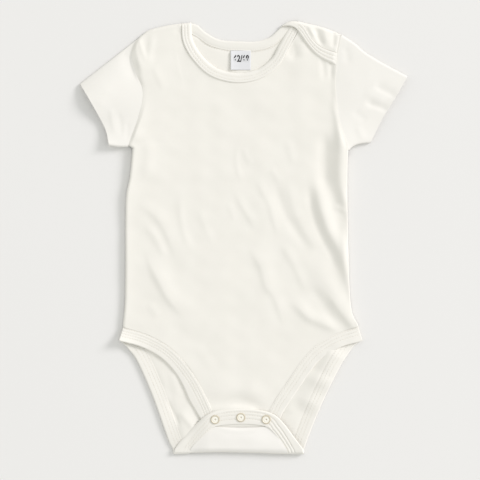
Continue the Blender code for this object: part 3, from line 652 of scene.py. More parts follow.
# ---------------------------------------------------------------- floor, light and camera

FRAME_WIDTH = 466.6      # what the camera sees across the surface
CAMERA_AT = (-2.9, -1.5, 2200.0)
SENSOR = 36.0
FLOOR_HALF, FLOOR_Z = 2500.0, -0.3


def add_floor():
    mesh = bpy.data.meshes.new("table_top")
    corners = [(x * FLOOR_HALF, y * FLOOR_HALF, FLOOR_Z) for x, y in ((-1, -1), (1, -1), (1, 1), (-1, 1))]
    mesh.from_pydata(np.array(corners) * MM, [], [(0, 1, 2, 3)])
    mesh.materials.append(TABLE)
    floor = in_scene("table_top", mesh)


def add_camera():
    lens = bpy.data.cameras.new("camera")
    lens.sensor_width = SENSOR
    lens.lens = SENSOR * CAMERA_AT[2] / FRAME_WIDTH
    lens.clip_start, lens.clip_end = 0.05, 20.0
    camera = in_scene("camera", lens)
    camera.location = Vector(CAMERA_AT) * MM
    bpy.context.scene.camera = camera


def add_light(name, at, size, power, colour):
    """A round soft light that shines on the garment; its place and size are in metres."""
    lamp = bpy.data.lights.new(name, "AREA")
    lamp.shape = "DISK"
    lamp.size, lamp.energy, lamp.color = size, power, colour
    light = in_scene(name, lamp)
    light.location = at
    light.rotation_euler = (Vector((0, 0, 0)) - Vector(at)).to_track_quat("-Z", "Y").to_euler()


def add_room_light(strength, colour):
    world = bpy.data.worlds.new("pale_studio")
    world.use_nodes = True
    sky = world.node_tree.nodes["Background"]
    sky.inputs["Color"].default_value = (*colour, 1)
    sky.inputs["Strength"].default_value = strength
    bpy.context.scene.world = world


add_floor()
add_camera()
add_light("key_light", at=(11.0, 5.9, 6.4), size=5.0, power=1180.0, colour=(1.0, 0.975, 0.997))
add_room_light(0.822, (0.99, 1.002, 0.983))
bpy.context.scene.view_settings.view_transform = "Standard"


# ---------------------------------------------------------------- front

LEG_ROWS, SIDE_ROWS, ARM_ROWS = 84, 104, 72
HIP_ROW, UNDERARM_ROW, TOP_ROW = LEG_ROWS, LEG_ROWS + SIDE_ROWS, LEG_ROWS + SIDE_ROWS + ARM_ROWS
NECK_COLUMNS, SHOULDER_COLUMNS = 112, 28
FRONT_COLUMNS = NECK_COLUMNS + 2 * SHOULDER_COLUMNS
SEAM_LAP = 0.5           # how far the front's rim reaches past its side and armhole seams


def chain(*lines):
    """Lines that meet end to end as one line."""
    return np.vstack([lines[0]] + [line[1:] for line in lines[1:]])


def between(left, right, shares):
    """A grid of points between two lines."""
    return left[:, None] * (1 - shares[None, :, None]) + right[:, None] * shares[None, :, None]


def spaced(line, shares):
    """Points at the shares of a line whose own points count as evenly spaced."""
    rank = np.linspace(0, 1, len(line))
    return np.column_stack([np.interp(shares, rank, line[:, i]) for i in (0, 1)])


def pulled_to_top(plan, top, power=4):
    """The plan with its last row moved onto `top`; the rows below follow less and less."""
    pull = np.linspace(0, 1, len(plan)) ** power
    return plan + pull[:, None, None] * (top - plan[-1])[None]


def front_plan():
    """The front's points in plan, from the crotch up and from left to right."""
    left = chain(along(FRONT_LEG_LEFT, LEG_ROWS), offset(along(SIDE_LEFT, SIDE_ROWS), SEAM_LAP),
                 offset(along(ARMHOLE_LEFT, ARM_ROWS), SEAM_LAP))
    right = chain(along(FRONT_LEG_RIGHT, LEG_ROWS), offset(along(SIDE_RIGHT, SIDE_ROWS), -SEAM_LAP),
                  offset(along(ARMHOLE_RIGHT, ARM_ROWS), -SEAM_LAP))
    top = chain(along(SHOULDER_LEFT, SHOULDER_COLUMNS), along(FRONT_NECK, NECK_COLUMNS),
                along(HIDDEN_SHOULDER, SHOULDER_COLUMNS))
    top[0], right[-1] = left[-1], top[-1]
    shares = spread(FRONT_COLUMNS + 1)
    return pulled_to_top(between(left, right, shares), spaced(top, shares))


# Shape of the front's upper face along each side.
# rim: by row up to the underarm, its height at the edge, how far in it rolls up to its own level,
#   and how far it drops steeply at the very edge
# crest: by share of the rows, how much higher it stands just inside, and how fast that fades
# seam, rolls, at_once: by share of the armhole from the shoulder to the underarm, the height of the
#   sleeve's seam, how far in the front rolls up from it, and 1 where it rises at once, 0 where it eases in
# turn: the section of its roll below the underarm
RimRow = namedtuple("RimRow", "row edge roll drop")
CrestRow = namedtuple("CrestRow", "share rise reach")
FrontSide = namedtuple("FrontSide", "rim crest seam rolls at_once turn")
LEFT_SIDE = FrontSide(
    rim=(RimRow(0, 3.6, 1.0, 0), RimRow(HIP_ROW - 10, 3.5, 1.0, 0), RimRow(HIP_ROW + 2, 2.4, 2.2, 1.7),
         RimRow(UNDERARM_ROW - 30, 3.4, 2.4, 2.7), RimRow(UNDERARM_ROW - 3, 4.9, 2.4, 4.2)),
    crest=(CrestRow(0, 0, 9), CrestRow(0.3, 0.2, 9), CrestRow(0.36, 0.9, 9), CrestRow(0.5, 1.0, 10),
           CrestRow(0.6, 1.6, 14), CrestRow(0.68, 2.9, 15), CrestRow(0.74, 2.7, 15), CrestRow(0.8, 1.0, 14),
           CrestRow(0.88, 0.3, 10), CrestRow(1, 0.4, 9)),
    seam=((0, 1.9), (0.08, 2.6), (0.2, 3.3), (0.42, 3.5), (0.55, 3.9), (0.75, 4.6), (0.9, 5.1), (1, 5.3)),
    rolls=((0, 4.4), (0.1, 3.8), (0.42, 4.0), (0.6, 5.2), (0.8, 3.4), (1, 3.4)),
    at_once=((0, 0.6), (0.12, 1), (0.4, 1), (0.55, 0), (1, 0)),
    turn=rounded)
RIGHT_SIDE = FrontSide(
    rim=(RimRow(0, 3.7, 1.0, 0), RimRow(HIP_ROW - 10, 3.9, 1.0, 0), RimRow(HIP_ROW + 3, 6.0, 6.0, 5.3),
         RimRow(HIP_ROW + 20, 6.0, 6.0, 5.3), RimRow(HIP_ROW + 34, 6.3, 6.0, 5.6),
         RimRow(HIP_ROW + 46, 6.2, 6.0, 5.5), RimRow(HIP_ROW + 58, 6.0, 6.0, 5.3),
         RimRow(HIP_ROW + 70, 6.2, 6.0, 5.5), RimRow(HIP_ROW + 84, 7.4, 6.0, 6.7),
         RimRow(UNDERARM_ROW - 3, 7.6, 5.0, 6.9)),
    crest=(CrestRow(0, 0, 9), CrestRow(0.3, 0.1, 9), CrestRow(0.38, 0.5, 9), CrestRow(0.7, 0.4, 9),
           CrestRow(0.8, 0.1, 9), CrestRow(1, 0, 9)),
    seam=((0, 4.4), (0.3, 4.2), (0.5, 4.2), (0.66, 4.5), (0.8, 5.8), (0.92, 7.2), (1, 7.5)),
    rolls=((0, 5.0), (0.45, 6.0), (0.6, 6.0), (1, 5.0)),
    at_once=((0, 0), (1, 0)),
    turn=quick_rise)

FRONT_BODY = 3.4         # level of the front's middle
BELLY_RISE = 0.5         # how much fuller it is away from its neck and crotch
BELLY_EASE = 90.0        # the length over which it gets that full
BELLY_FOOT = -150        # it starts to rise there
LOWEST_FRONT = 2.3       # the front's creases reach down to here, where it lies on the back
CREST_IN = 2.2           # how far in from the edge a crest has its full height
STEEP = 0.6              # width of the drop at the very edge
SEAM_STAND = 0.12        # how much the front's edge stands above the sleeve's seam
ARM_BLEND = 6            # rows over which the side's shape turns into the armhole's
SHOULDER_LOW = 0.8       # height at the left shoulder's seam, where the front turns down to the back
SHOULDER_ROLL = 3.2
FRONT_LEAST = 0.6        # its upper face is nowhere lower than this


def by_rows(rows, at):
    """Each column after the first of a table, as a column of values at `at` in its first."""
    first, *others = np.array(rows, float).T
    return [np.interp(at, first, column)[:, None] for column in others]


def side_crest(distance, side):
    """How much the front stands up just inside one of its sides."""
    rise, reach = by_rows(side.crest, np.arange(TOP_ROW + 1) / TOP_ROW)
    return rise * np.exp(-(np.maximum(distance, CREST_IN) - CREST_IN) / reach)


def turned_down(height, distance, side):
    """The front's heights, rolled down to its edge at one side; `distance` is that from the edge."""
    rows = np.arange(TOP_ROW + 1)
    from_shoulder = (TOP_ROW - rows) / ARM_ROWS
    on_arm = soft_step((rows - UNDERARM_ROW + ARM_BLEND / 2) / ARM_BLEND)[:, None]
    edge, roll, drop = by_rows(side.rim, rows)
    seam = table(side.seam, np.clip(from_shoulder, 0, 1))[:, None] + SEAM_STAND
    (arm_roll,), (at_once,) = by_rows(side.rolls, from_shoulder), by_rows(side.at_once, from_shoulder)
    edge, roll = toward(edge, seam, on_arm), toward(roll, arm_roll, on_arm)
    arm_turn = toward(soft_step(distance / roll), quick_rise(distance, roll), at_once)
    turn = toward(side.turn(distance, roll), arm_turn, on_arm)
    return toward(edge, height, turn) - drop * (1 - on_arm) * (1 - rounded(distance, STEEP))


def front_heights(plan):
    """Heights of the front's upper face."""
    left, right, first, last = edge_distances(plan)
    x, y = plan[..., 0], plan[..., 1]
    height = FRONT_BODY + side_crest(left, LEFT_SIDE) + side_crest(right, RIGHT_SIDE)
    belly = BELLY_RISE * soft_step((last - 2) / BELLY_EASE) * soft_step((y - BELLY_FOOT) / BELLY_EASE)
    height = height + belly
    calm = soft_step((last - 1) / 6) * soft_step(first / 12)
    height = height + calm * (crease_height(FRONT_CREASES, x, y) + crumple(x, y, seed=7, height=0.55))
    height = LOWEST_FRONT + soft_floor(height - LOWEST_FRONT, 0.5)
    height = turned_down(turned_down(height, left, LEFT_SIDE), right, RIGHT_SIDE)
    at_shoulder = (x < FRONT_NECK[0][0] - SEAM_LAP) * (1 - rounded(last, SHOULDER_ROLL))
    height = toward(height, SHOULDER_LOW, at_shoulder)
    return np.maximum(height - (1 - at_shoulder) * 0.35 * (1 - rounded(last, 1.2)), FRONT_LEAST)


def add_front():
    """The front: its upper face is modelled, and the under one follows it."""
    plan = front_plan()
    height = front_heights(plan)
    under = height - thinned(rim_distance(plan), 0.12)
    return add_wall("front_cloth", plan, height, under, JERSEY, ("front_panel",))


# ---------------------------------------------------------------- back with its crotch flap

FOLD_ROWS, FLAP_ROWS, BACK_LEG_ROWS, BACK_SIDE_ROWS, BACK_ARM_ROWS = 18, 26, 76, 70, 50
BACK_NECK_COLUMNS, BACK_COLUMNS = 84, 124
BACK_SHOULDER_COLUMNS = (BACK_COLUMNS - BACK_NECK_COLUMNS) // 2 - 1
BACK_TUCK = 0.9          # how far the back reaches into its leg bindings
NECK_TUCK = 1.6          # and into its neck binding
BACK_DEEPEST = -1.0      # of its troughs
BACK_LOOSE = 0.25        # how far it is lifted off the table between its folds
BACK_EASE = 5            # how far in from its edges it comes to that
HIP_LIFT = 0.6           # its rise where it shows below the front's legs
HIP_TOP, HIP_EASE = -70, 30              # where that starts, and over how much it comes
FLAP_HEM, FLAP_EASE = 0.5, 3             # where the flap's folds start inside its edge, and over how much
FLAP_PUFF = 1.3          # the flap's rise between the fold and the snap band
FLAP_PUFF_TOP = -180     # it ends there
FLAP_PUFF_RUN, FLAP_PUFF_START = 24, 7   # over how much it comes down from there, and up from the fold
OUTER_SHARE, OUTER_MOST = 0.75, 1.2      # how far the back's outer face follows its folds
BACK_THINNEST = 0.2      # its faces are nowhere closer, but at the edges


def flat_from_flap(points):
    """Points on the turned-up flap, as they lie when the back is rolled out flat."""
    points = np.array(points, float)
    return np.column_stack([points[:, 0], 2 * FOLD_START_Y - FOLD_LENGTH - points[:, 1]])


def fold_sag(x):
    """The crotch fold's edge is not straight: it draws up a little between its corners."""
    return sum(sag.height * bell(x - sag.x, sag.width) for sag in FOLD_SAGS)


def folded(plan, lift):
    """Rolled-out points of the back, `lift` above its outer face, brought to their folded place."""
    x, flat_y = plan[..., 0], plan[..., 1]
    past = FOLD_START_Y - flat_y
    angle = np.clip(past / (FOLD_RADIUS - BACK_WALL / 2), 0, pi)
    beyond = np.maximum(past - FOLD_LENGTH, 0)
    y = np.where(past < 0, flat_y, FOLD_START_Y - (FOLD_REACH - lift) * np.sin(angle) + beyond)
    height = FOLD_RADIUS - (FOLD_RADIUS - lift) * np.cos(angle)
    pressed = FLAP_PRESS * soft_step((FLAP_PRESS_X - x) / FLAP_PRESS_RUN) * soft_step(angle / pi)
    return np.dstack([x, y + fold_sag(x) * bell(y - FOLD_Y, FOLD_SAG_REACH), height * (1 - pressed)])


def on_flap(plan):
    """0 on the back, rising to 1 just past the fold."""
    return soft_step((FOLD_START_Y - FOLD_LENGTH * 0.5 - plan[..., 1]) / (FOLD_LENGTH * 0.5))


def back_edge(flap_line, leg_line, side_line, arm_line, tuck):
    """One side of the rolled-out back, from the flap's end to the shoulder."""
    flap = flat_from_flap(along(flap_line, FLAP_ROWS))
    leg = along(leg_line, BACK_LEG_ROWS)
    turn = np.linspace(flap[-1], leg[0], FOLD_ROWS + 1)
    tucked = offset(chain(flap, turn, leg), tuck)
    tucked[0], tucked[-1] = flap[0], leg[-1]
    return chain(tucked, along(side_line, BACK_SIDE_ROWS), along(arm_line, BACK_ARM_ROWS))


def back_plan():
    """The back's points, rolled out flat, from the flap's end up and from left to right."""
    left = back_edge(FLAP_LEFT, BACK_LEG_LEFT, SIDE_LEFT, ARMHOLE_LEFT, BACK_TUCK)
    right = back_edge(FLAP_RIGHT, BACK_LEG_RIGHT, SIDE_RIGHT, ARMHOLE_RIGHT, -BACK_TUCK)
    shares = spread(BACK_COLUMNS + 1)
    top = np.vstack([
        along(SHOULDER_LEFT, BACK_SHOULDER_COLUMNS),
        along(offset(along(BACK_NECK_TOP, 8), NECK_TUCK - BACK_NECK_WIDTH), BACK_NECK_COLUMNS),
        along(SHOULDER_RIGHT, BACK_SHOULDER_COLUMNS),
    ])
    top[0], top[-1] = left[-1], right[-1]
    plan = pulled_to_top(between(left, right, shares), spaced(top, shares))
    flap_top = flat_from_flap(along(FLAP_TOP, shares))
    pull = np.clip(1 - np.arange(len(plan)) / FLAP_ROWS, 0, 1)
    return plan + pull[:, None, None] * (flap_top - plan[0])[None]


def add_back():
    """The back: its outer face lies on the table, then goes round the fold and is the flap's top."""
    plan = back_plan()
    flap, rim = on_flap(plan), rim_distance(plan)
    at = folded(plan, np.zeros(plan.shape[:2]))
    x, y = at[..., 0], at[..., 1]
    low = np.maximum(crease_height(BACK_CREASES, x, y), BACK_DEEPEST) + crumple(x, y, seed=11, height=0.35)
    low = soft_step(rim / BACK_EASE) * np.maximum(low + BACK_LOOSE, 0)
    low = (low + crease_height(BACK_EDGE_CREASES, x, y)) * (1 - flap)
    high = crease_height(FLAP_CREASES, x, y) + crumple(x, y, seed=5, height=0.3)
    high = soft_step((rim - FLAP_HEM) / FLAP_EASE) * high * flap
    puff = FLAP_PUFF * soft_step((FLAP_PUFF_TOP - y) / FLAP_PUFF_RUN)
    high = high + puff * soft_step((y - FOLD_Y) / FLAP_PUFF_START) * flap
    visible_on_back = BACK_WALL + low + HIP_LIFT * soft_step((HIP_TOP - y) / HIP_EASE) * (1 - flap)
    outer = np.minimum(low * OUTER_SHARE, OUTER_MOST) - high - 0.15 * flap * rounded(rim, 2)
    inner = np.where(flap > 0.5, BACK_WALL - high, visible_on_back)
    inner = outer + np.maximum(inner - outer, BACK_THINNEST) * rim_share(rim, 0.15, 0.9)
    piece = add_shell("back_cloth", folded(plan, inner), folded(plan, outer), JERSEY,
                      ("back_panel",))
    # the flap's faces take the lighter copy of the jersey: painted light
    piece.data.materials.append(FLAP_JERSEY)
    turned_up = (flap[:-1, :-1] > 0.5).ravel()
    for face, pale in zip(piece.data.polygons, np.r_[turned_up, turned_up]):
        face.material_index = int(pale)
    return piece


# ---------------------------------------------------------------- bindings

ROW_STEP = 1.15          # between a strip's rows of points
STRIP_SHARES = np.r_[0, 0.012, 0.035, np.linspace(0.07, 0.93, 40), 0.96, 0.985, 1]
GROOVE_DEPTH, GROOVE_WIDTH = 0.26, 0.62
RIPPLE, RIPPLE_LENGTH = 0.1, 3.1
THINNEST = 0.1
EDGE_SHARE = 0.12        # share of its thickness that a strip keeps at its free edge
HIP_WAY = (0.29, -0.96)  # the way a right leg binding's end runs at the side seam; mirrored at the left

threads = []             # the line of each row of stitching


def rows_for(points):
    """How many rows of points a strip along the line has."""
    return int(lengths_along(smooth_line(points))[-1] / ROW_STEP)


def at_shares(value, shares):
    """One number, or a pair of shares and their numbers, as a number for each of the shares."""
    return np.interp(shares, *value) if np.ndim(value) else np.full(len(shares), value)


def across_strip(line, side, lean, lean_to):
    """The way from each point of a seam to its strip's free edge, and what part of it is square."""
    run = unit(np.gradient(line, axis=0))
    square = side * np.column_stack([-run[:, 1], run[:, 0]])
    out = unit(square * (1 - lean[:, None]) + unit(np.array(lean_to, float)) * lean[:, None])
    return out, np.maximum((out * square).sum(axis=1), 0.3)


def strip_plan(line, out, reach):
    """Rows of points from a seam out to its strip's free edge."""
    return line[:, None] + (STRIP_SHARES * reach[:, None])[..., None] * out[:, None]


def strip_relief(reach, wall, grooves, depth, seam_rise, edge_roll, edge_power=1):
    """Height of a strip's face above its under side: rounded edges and a row of sunk seams."""
    across = STRIP_SHARES[None, :] * reach[:, None]
    start, run = seam_rise
    face = wall * toward(start, 1, rounded(across, run))
    rolled = rounded(reach[:, None] - across, edge_roll) ** edge_power
    face = face * (EDGE_SHARE + (1 - EDGE_SHARE) * rolled)
    for groove in grooves:
        sunk = GROOVE_DEPTH * np.reshape(depth, (-1, 1))
        face = face - sunk * bell(across - np.broadcast_to(groove, len(reach))[:, None], GROOVE_WIDTH)
    return np.maximum(face, THINNEST)


def on_strip(surface, reach, distance):
    """The line on a strip's face at a distance from its seam."""
    share = np.clip(np.broadcast_to(distance, len(surface)) / reach, 0, 1)
    return np.array([[np.interp(at, STRIP_SHARES, row[:, i]) for i in range(3)]
                     for row, at in zip(surface, share)])


def add_strip(name, node, points, widths, side, under, free_rise, wall, grooves, depth, seam_rise,
              lean=0.0, lean_to=(0.0, 1.0), start_roll=0.01, edge_roll=1.3):
    """A binding on the front: its under side is at `under` and rises by `free_rise` to its free edge."""
    line = along(points, rows_for(points))
    shares, from_start = np.linspace(0, 1, len(line)), lengths_along(line)
    under, free, wall, depth, lean = (at_shares(value, shares)
                                      for value in (under, free_rise, wall, depth, lean))
    out, squareness = across_strip(line, side, lean, lean_to)
    reach = table(widths, from_start / from_start[-1]) / squareness
    plan = strip_plan(line, out, reach)
    ripple = RIPPLE * np.sin(from_start / RIPPLE_LENGTH)[:, None] * STRIP_SHARES
    floor = under[:, None] + free[:, None] * STRIP_SHARES**1.5
    face = floor + strip_relief(reach, wall[:, None], grooves, depth, seam_rise, edge_roll) + ripple
    face = face - (face - floor - THINNEST) * (1 - rounded(from_start[:, None], start_roll))
    started = rounded(from_start[:, None] + 0.2, start_roll)
    floor = floor * started
    top = at_height(plan, np.maximum(face * started, floor + THINNEST))
    threads.extend(on_strip(top, reach, groove) for groove in grooves)
    return add_shell(name, top, at_height(plan, floor + ripple), BINDING, (node,))


def add_front_bindings():
    """The bindings of the front's legs and of its neck."""
    hip = ((0, 0.9, 1), (0, 0, 1))
    left = add_strip(
        "leg_binding_left_front", "leg_binding_front_left", FRONT_LEG_LEFT, FRONT_LEG_BAND_LEFT, 1,
        under=((0, 0.8, 0.95, 1), (2.4, 2.4, 2.6, 2.6)),
        free_rise=((0, 0.2, 0.5, 0.8, 0.92, 1), (0.1, -0.7, -0.6, 0.3, 2.6, 5.4)),
        wall=1.9, grooves=(0.6, 3.2, 5.7, 8.2), depth=((0, 0.5, 1), (1.2, 1.0, 0.9)),
        seam_rise=(0.75, 1.2), lean=hip, lean_to=(-HIP_WAY[0], HIP_WAY[1]))
    right = add_strip(
        "leg_binding_right_front", "leg_binding_front_right", FRONT_LEG_RIGHT, FRONT_LEG_BAND_RIGHT, -1,
        under=((0, 0.8, 0.95, 1), (2.4, 2.4, 2.2, 1.8)),
        free_rise=((0, 0.5, 0.85, 1), (0.1, 0.1, 1.0, 1.0)),
        wall=1.55, grooves=(1.3, 4.4, 7.6), depth=((0, 0.4, 0.7, 1), (0.7, 0.35, 0.35, 0.9)),
        seam_rise=(0.92, 1.2), lean=hip, lean_to=HIP_WAY)
    neck = add_strip(
        "neck_binding_of_front", "neck_binding_front", FRONT_NECK,
        (BandWidth(0, NECK_WIDTH), BandWidth(1, NECK_WIDTH)), 1,
        under=((0, 0.05, 0.86, 1), (1.8, 2.4, 2.5, 1.3)),
        free_rise=((0, 0.05, 0.95, 1), (0, -0.9, -0.9, 0)),
        wall=((0, 0.88, 1), (2.2, 2.2, 1.7)), grooves=(2.7, 5.6),
        depth=((0, 0.15, 0.35, 0.55, 0.75, 1), (1.2, 1.1, 0.35, 0.35, 0.7, 0.9)),
        seam_rise=(0.35, 0.9), start_roll=3.0, edge_roll=2.8)
    return left, right, neck


# The lap starts low at the shoulder's fold and rolls up over the front.  It is lower again where it
# meets the armhole and where its binding is sewn on.
LAP_ROWS = 60
LAP_SHARES = np.r_[0, 0.01, 0.03, 0.06, np.linspace(0.1, 1, 30)]     # from its fold to its seam
LAP_START, LAP_RISE, LAP_ROLL = 0.5, 4.0, 4.0
LAP_AT_ARMHOLE, LAP_AT_BINDING = 3.2, 4.5
LAP_GROOVES = (0.34, 0.66)               # seams of its binding, as shares of the binding's width
# The lap's binding at the shoulder's fold, where it rolls over, and where it lies on the front
LAP_BAND_START, LAP_BAND_RISE = 0.9, 4.2
LAP_BAND_FLOOR, LAP_BAND_WALL = 3.3, 1.95
LAP_BAND_FREE, LAP_BAND_END = 3.6, 4.4   # at its free edge along the fold, and at the armhole
LAP_BAND_THICK, LAP_BAND_GAP = 1.9, 0.2  # its thickness, less where that would bring it near the table
LAP_BAND_TURN = (0.2, 0.12)              # share of its length where it leaves the fold, and over how much
LAP_BAND_SEWN = (0.24, 0.98)             # shares between which its stitches show


def add_lap():
    """The back's right shoulder, turned over the front."""
    plan = between(along(LAP_FOLD, LAP_ROWS), along(LAP_SEAM, LAP_ROWS), LAP_SHARES)
    left, right, _, last = edge_distances(plan)
    x, y = plan[..., 0], plan[..., 1]
    rolled = LAP_START + LAP_RISE * rounded(left, LAP_ROLL) + 0.5 * soft_step(left / 10)
    folds = crease_height(LAP_CREASES, x, y) + crumple(x, y, seed=3, height=0.3)
    height = rolled + soft_step(left / 3) * folds
    height = toward(height, LAP_AT_ARMHOLE, 1 - rounded(last, 4.0), soft_step(left / 4))
    height = toward(height, LAP_AT_BINDING, 1 - soft_step(right / 5), soft_step(left / 4),
                    soft_step(last / 4))
    under = height - thinned(rim_distance(plan), 0.15)
    return add_wall("shoulder_lap_cloth", plan, height, under, JERSEY, ("shoulder_lap",))


def add_lap_binding():
    """The lap's bound edge: it comes over the shoulder's fold from the back and crosses the front."""
    shares = np.linspace(0, 1, 90)
    seam, free = along(LAP_BAND_SEAM, shares), along(LAP_BAND_EDGE, shares)
    plan = between(seam, free, STRIP_SHARES)
    width = np.linalg.norm(free - seam, axis=1)
    grooves = [width * share for share in LAP_GROOVES]
    reach = width[:, None] * STRIP_SHARES[None, :]
    from_free = reach[:, -1:] - reach
    turn_start, turn_run = LAP_BAND_TURN
    turn = 1 - soft_step((shares - turn_start) / turn_run)[:, None]
    rolled = LAP_BAND_START + LAP_BAND_RISE * rounded(reach, 3.0)
    sewn = LAP_BAND_FLOOR + strip_relief(width, LAP_BAND_WALL, grooves, depth=1.3, seam_rise=(0.3, 1.2),
                                         edge_roll=2.0)
    height = toward(rolled * turn + sewn * (1 - turn), LAP_BAND_FREE, turn, 1 - rounded(from_free, 1.6))
    from_end = (1 - shares[:, None]) * lengths_along(seam)[-1]
    height = toward(height, LAP_BAND_END, 1 - soft_step(from_end / 4.0))
    thick = np.minimum(height - LAP_BAND_GAP, LAP_BAND_THICK)
    thin = thick * rim_share(np.minimum(reach, from_free), 0.08, 1.2)
    top = at_height(plan, height)
    sewn_rows = (shares > LAP_BAND_SEWN[0]) & (shares < LAP_BAND_SEWN[1])
    for groove in grooves:
        threads.append(on_strip(top, width, groove)[sewn_rows])
    return add_shell("lap_binding_strip", top, at_height(plan, height - np.maximum(thin, THINNEST)),
                     BINDING, ("lap_binding",))


# Height of the back's neck binding at its seam, its rise away from that, and its drop at the free edge
BACK_NECK_SEAM_Z, BACK_NECK_RISE, BACK_NECK_DROP = 1.75, 0.35, 1.2
BACK_NECK_SHARES = spread(24, (0.0, 0.01, 0.03, 0.06))   # from its seam to its free edge
BACK_NECK_GROOVE = 0.2
BACK_NECK_ROWS = (0.9, -0.9)             # its stitches run on both sides of its seam
BACK_NECK_SEWN = (0.14, 0.86)            # share of its length where they show


def add_back_neck():
    """The binding of the back's neck, which shows its inner face."""
    shares = np.linspace(0, 1, 150)
    rim = along(BACK_NECK_TOP, shares)
    eased = offset(along(BACK_NECK_TOP, 8), -BACK_NECK_WIDTH)
    seam = along(eased, shares)
    plan = between(seam, rim, BACK_NECK_SHARES)
    reach = np.linalg.norm(rim - seam, axis=1)[:, None] * BACK_NECK_SHARES[None, :]
    face = BACK_NECK_SEAM_Z + BACK_NECK_RISE * soft_step(reach / 4.5)
    face = face - BACK_NECK_DROP * (1 - rounded(reach[:, -1:] - reach, 2.2))
    face = face - BACK_NECK_GROOVE * bell(reach - 1.0, 0.5)
    from_start = lengths_along(rim)
    ends = np.minimum(from_start, from_start[-1] - from_start)[:, None]
    face = toward(0.3, face, rounded(ends, 2.0))
    sewn = shares[(shares > BACK_NECK_SEWN[0]) & (shares < BACK_NECK_SEWN[1])]
    for aside in BACK_NECK_ROWS:
        line = along(offset(along(eased, 40), aside), sewn)
        threads.append(np.column_stack([line, np.full(len(line), BACK_WALL + 0.25)]))
    return add_wall("neck_binding_of_back", plan, face, 0.0, BINDING, ("neck_binding_back",))


CROTCH_GROOVES = (1.2, 4.4, 7.6)         # seams of the leg bindings, as distances from the flap's seam
PLACKET_GROOVES = (5.0, 8.6, 11.8)       # and of the snap band
CROTCH_WIDTH, PLACKET_EXTRA = 13.0, 1.5
TURN_WIDTH, TURN_EXTRA = 13.2, 3.9       # its width at the fold's start, and its gain up to the flap
CROTCH_WALL = 1.9
CROTCH_MIDDLE_X = -4
CORNER_START, CORNER_RUN = 18.0, 7.0     # how far past the fold a leg's strip turns into the snap band
SOFT_END_X, SOFT_END_RUN = -10, 14       # the band's free edge is softer left of here
# Depth of the grooves, as a share of GROOVE_DEPTH: on the back, and on each side of the flap, where
# the second number is what is added on the snap band
BACK_DEPTH = 0.22
FLAP_DEPTH_LEFT, FLAP_DEPTH_RIGHT = (0.45, 0.6), (2.1, -0.7)
LEAN_LENGTH = 26.0       # how far from a hip or from the fold a strip starts to lean
HIP_RISE = 3.4           # of the left strip's free edge where it meets the side seam
LEFT_RAISE = 1.0         # of that edge along the leg
FLAP_FLOOR = 1.5         # on the flap, how far inside the cloth's outer face the strip's under side lies
BAND_RISE = 0.7          # how much farther out it lies past the fold


def crotch_seam():
    """The seam from hip to hip: down the back's left leg, round the fold, over the flap and back."""
    left_leg, right_leg = along(BACK_LEG_LEFT, 150)[::-1], along(BACK_LEG_RIGHT, 150)
    flap = flat_from_flap(along(FLAP_SEAM, 120))
    turn_left = np.linspace(left_leg[-1], flap[0], FOLD_ROWS)
    turn_right = np.linspace(flap[-1], right_leg[0], FOLD_ROWS)
    return chain(left_leg, turn_left, flap, turn_right, right_leg)


def unbroken(chosen):
    """The chosen rows' numbers, in runs that are long enough to be sewn."""
    cuts = np.flatnonzero(np.diff(chosen.astype(int))) + 1
    return [run for run in np.split(np.arange(len(chosen)), cuts) if chosen[run[0]] and len(run) > 6]


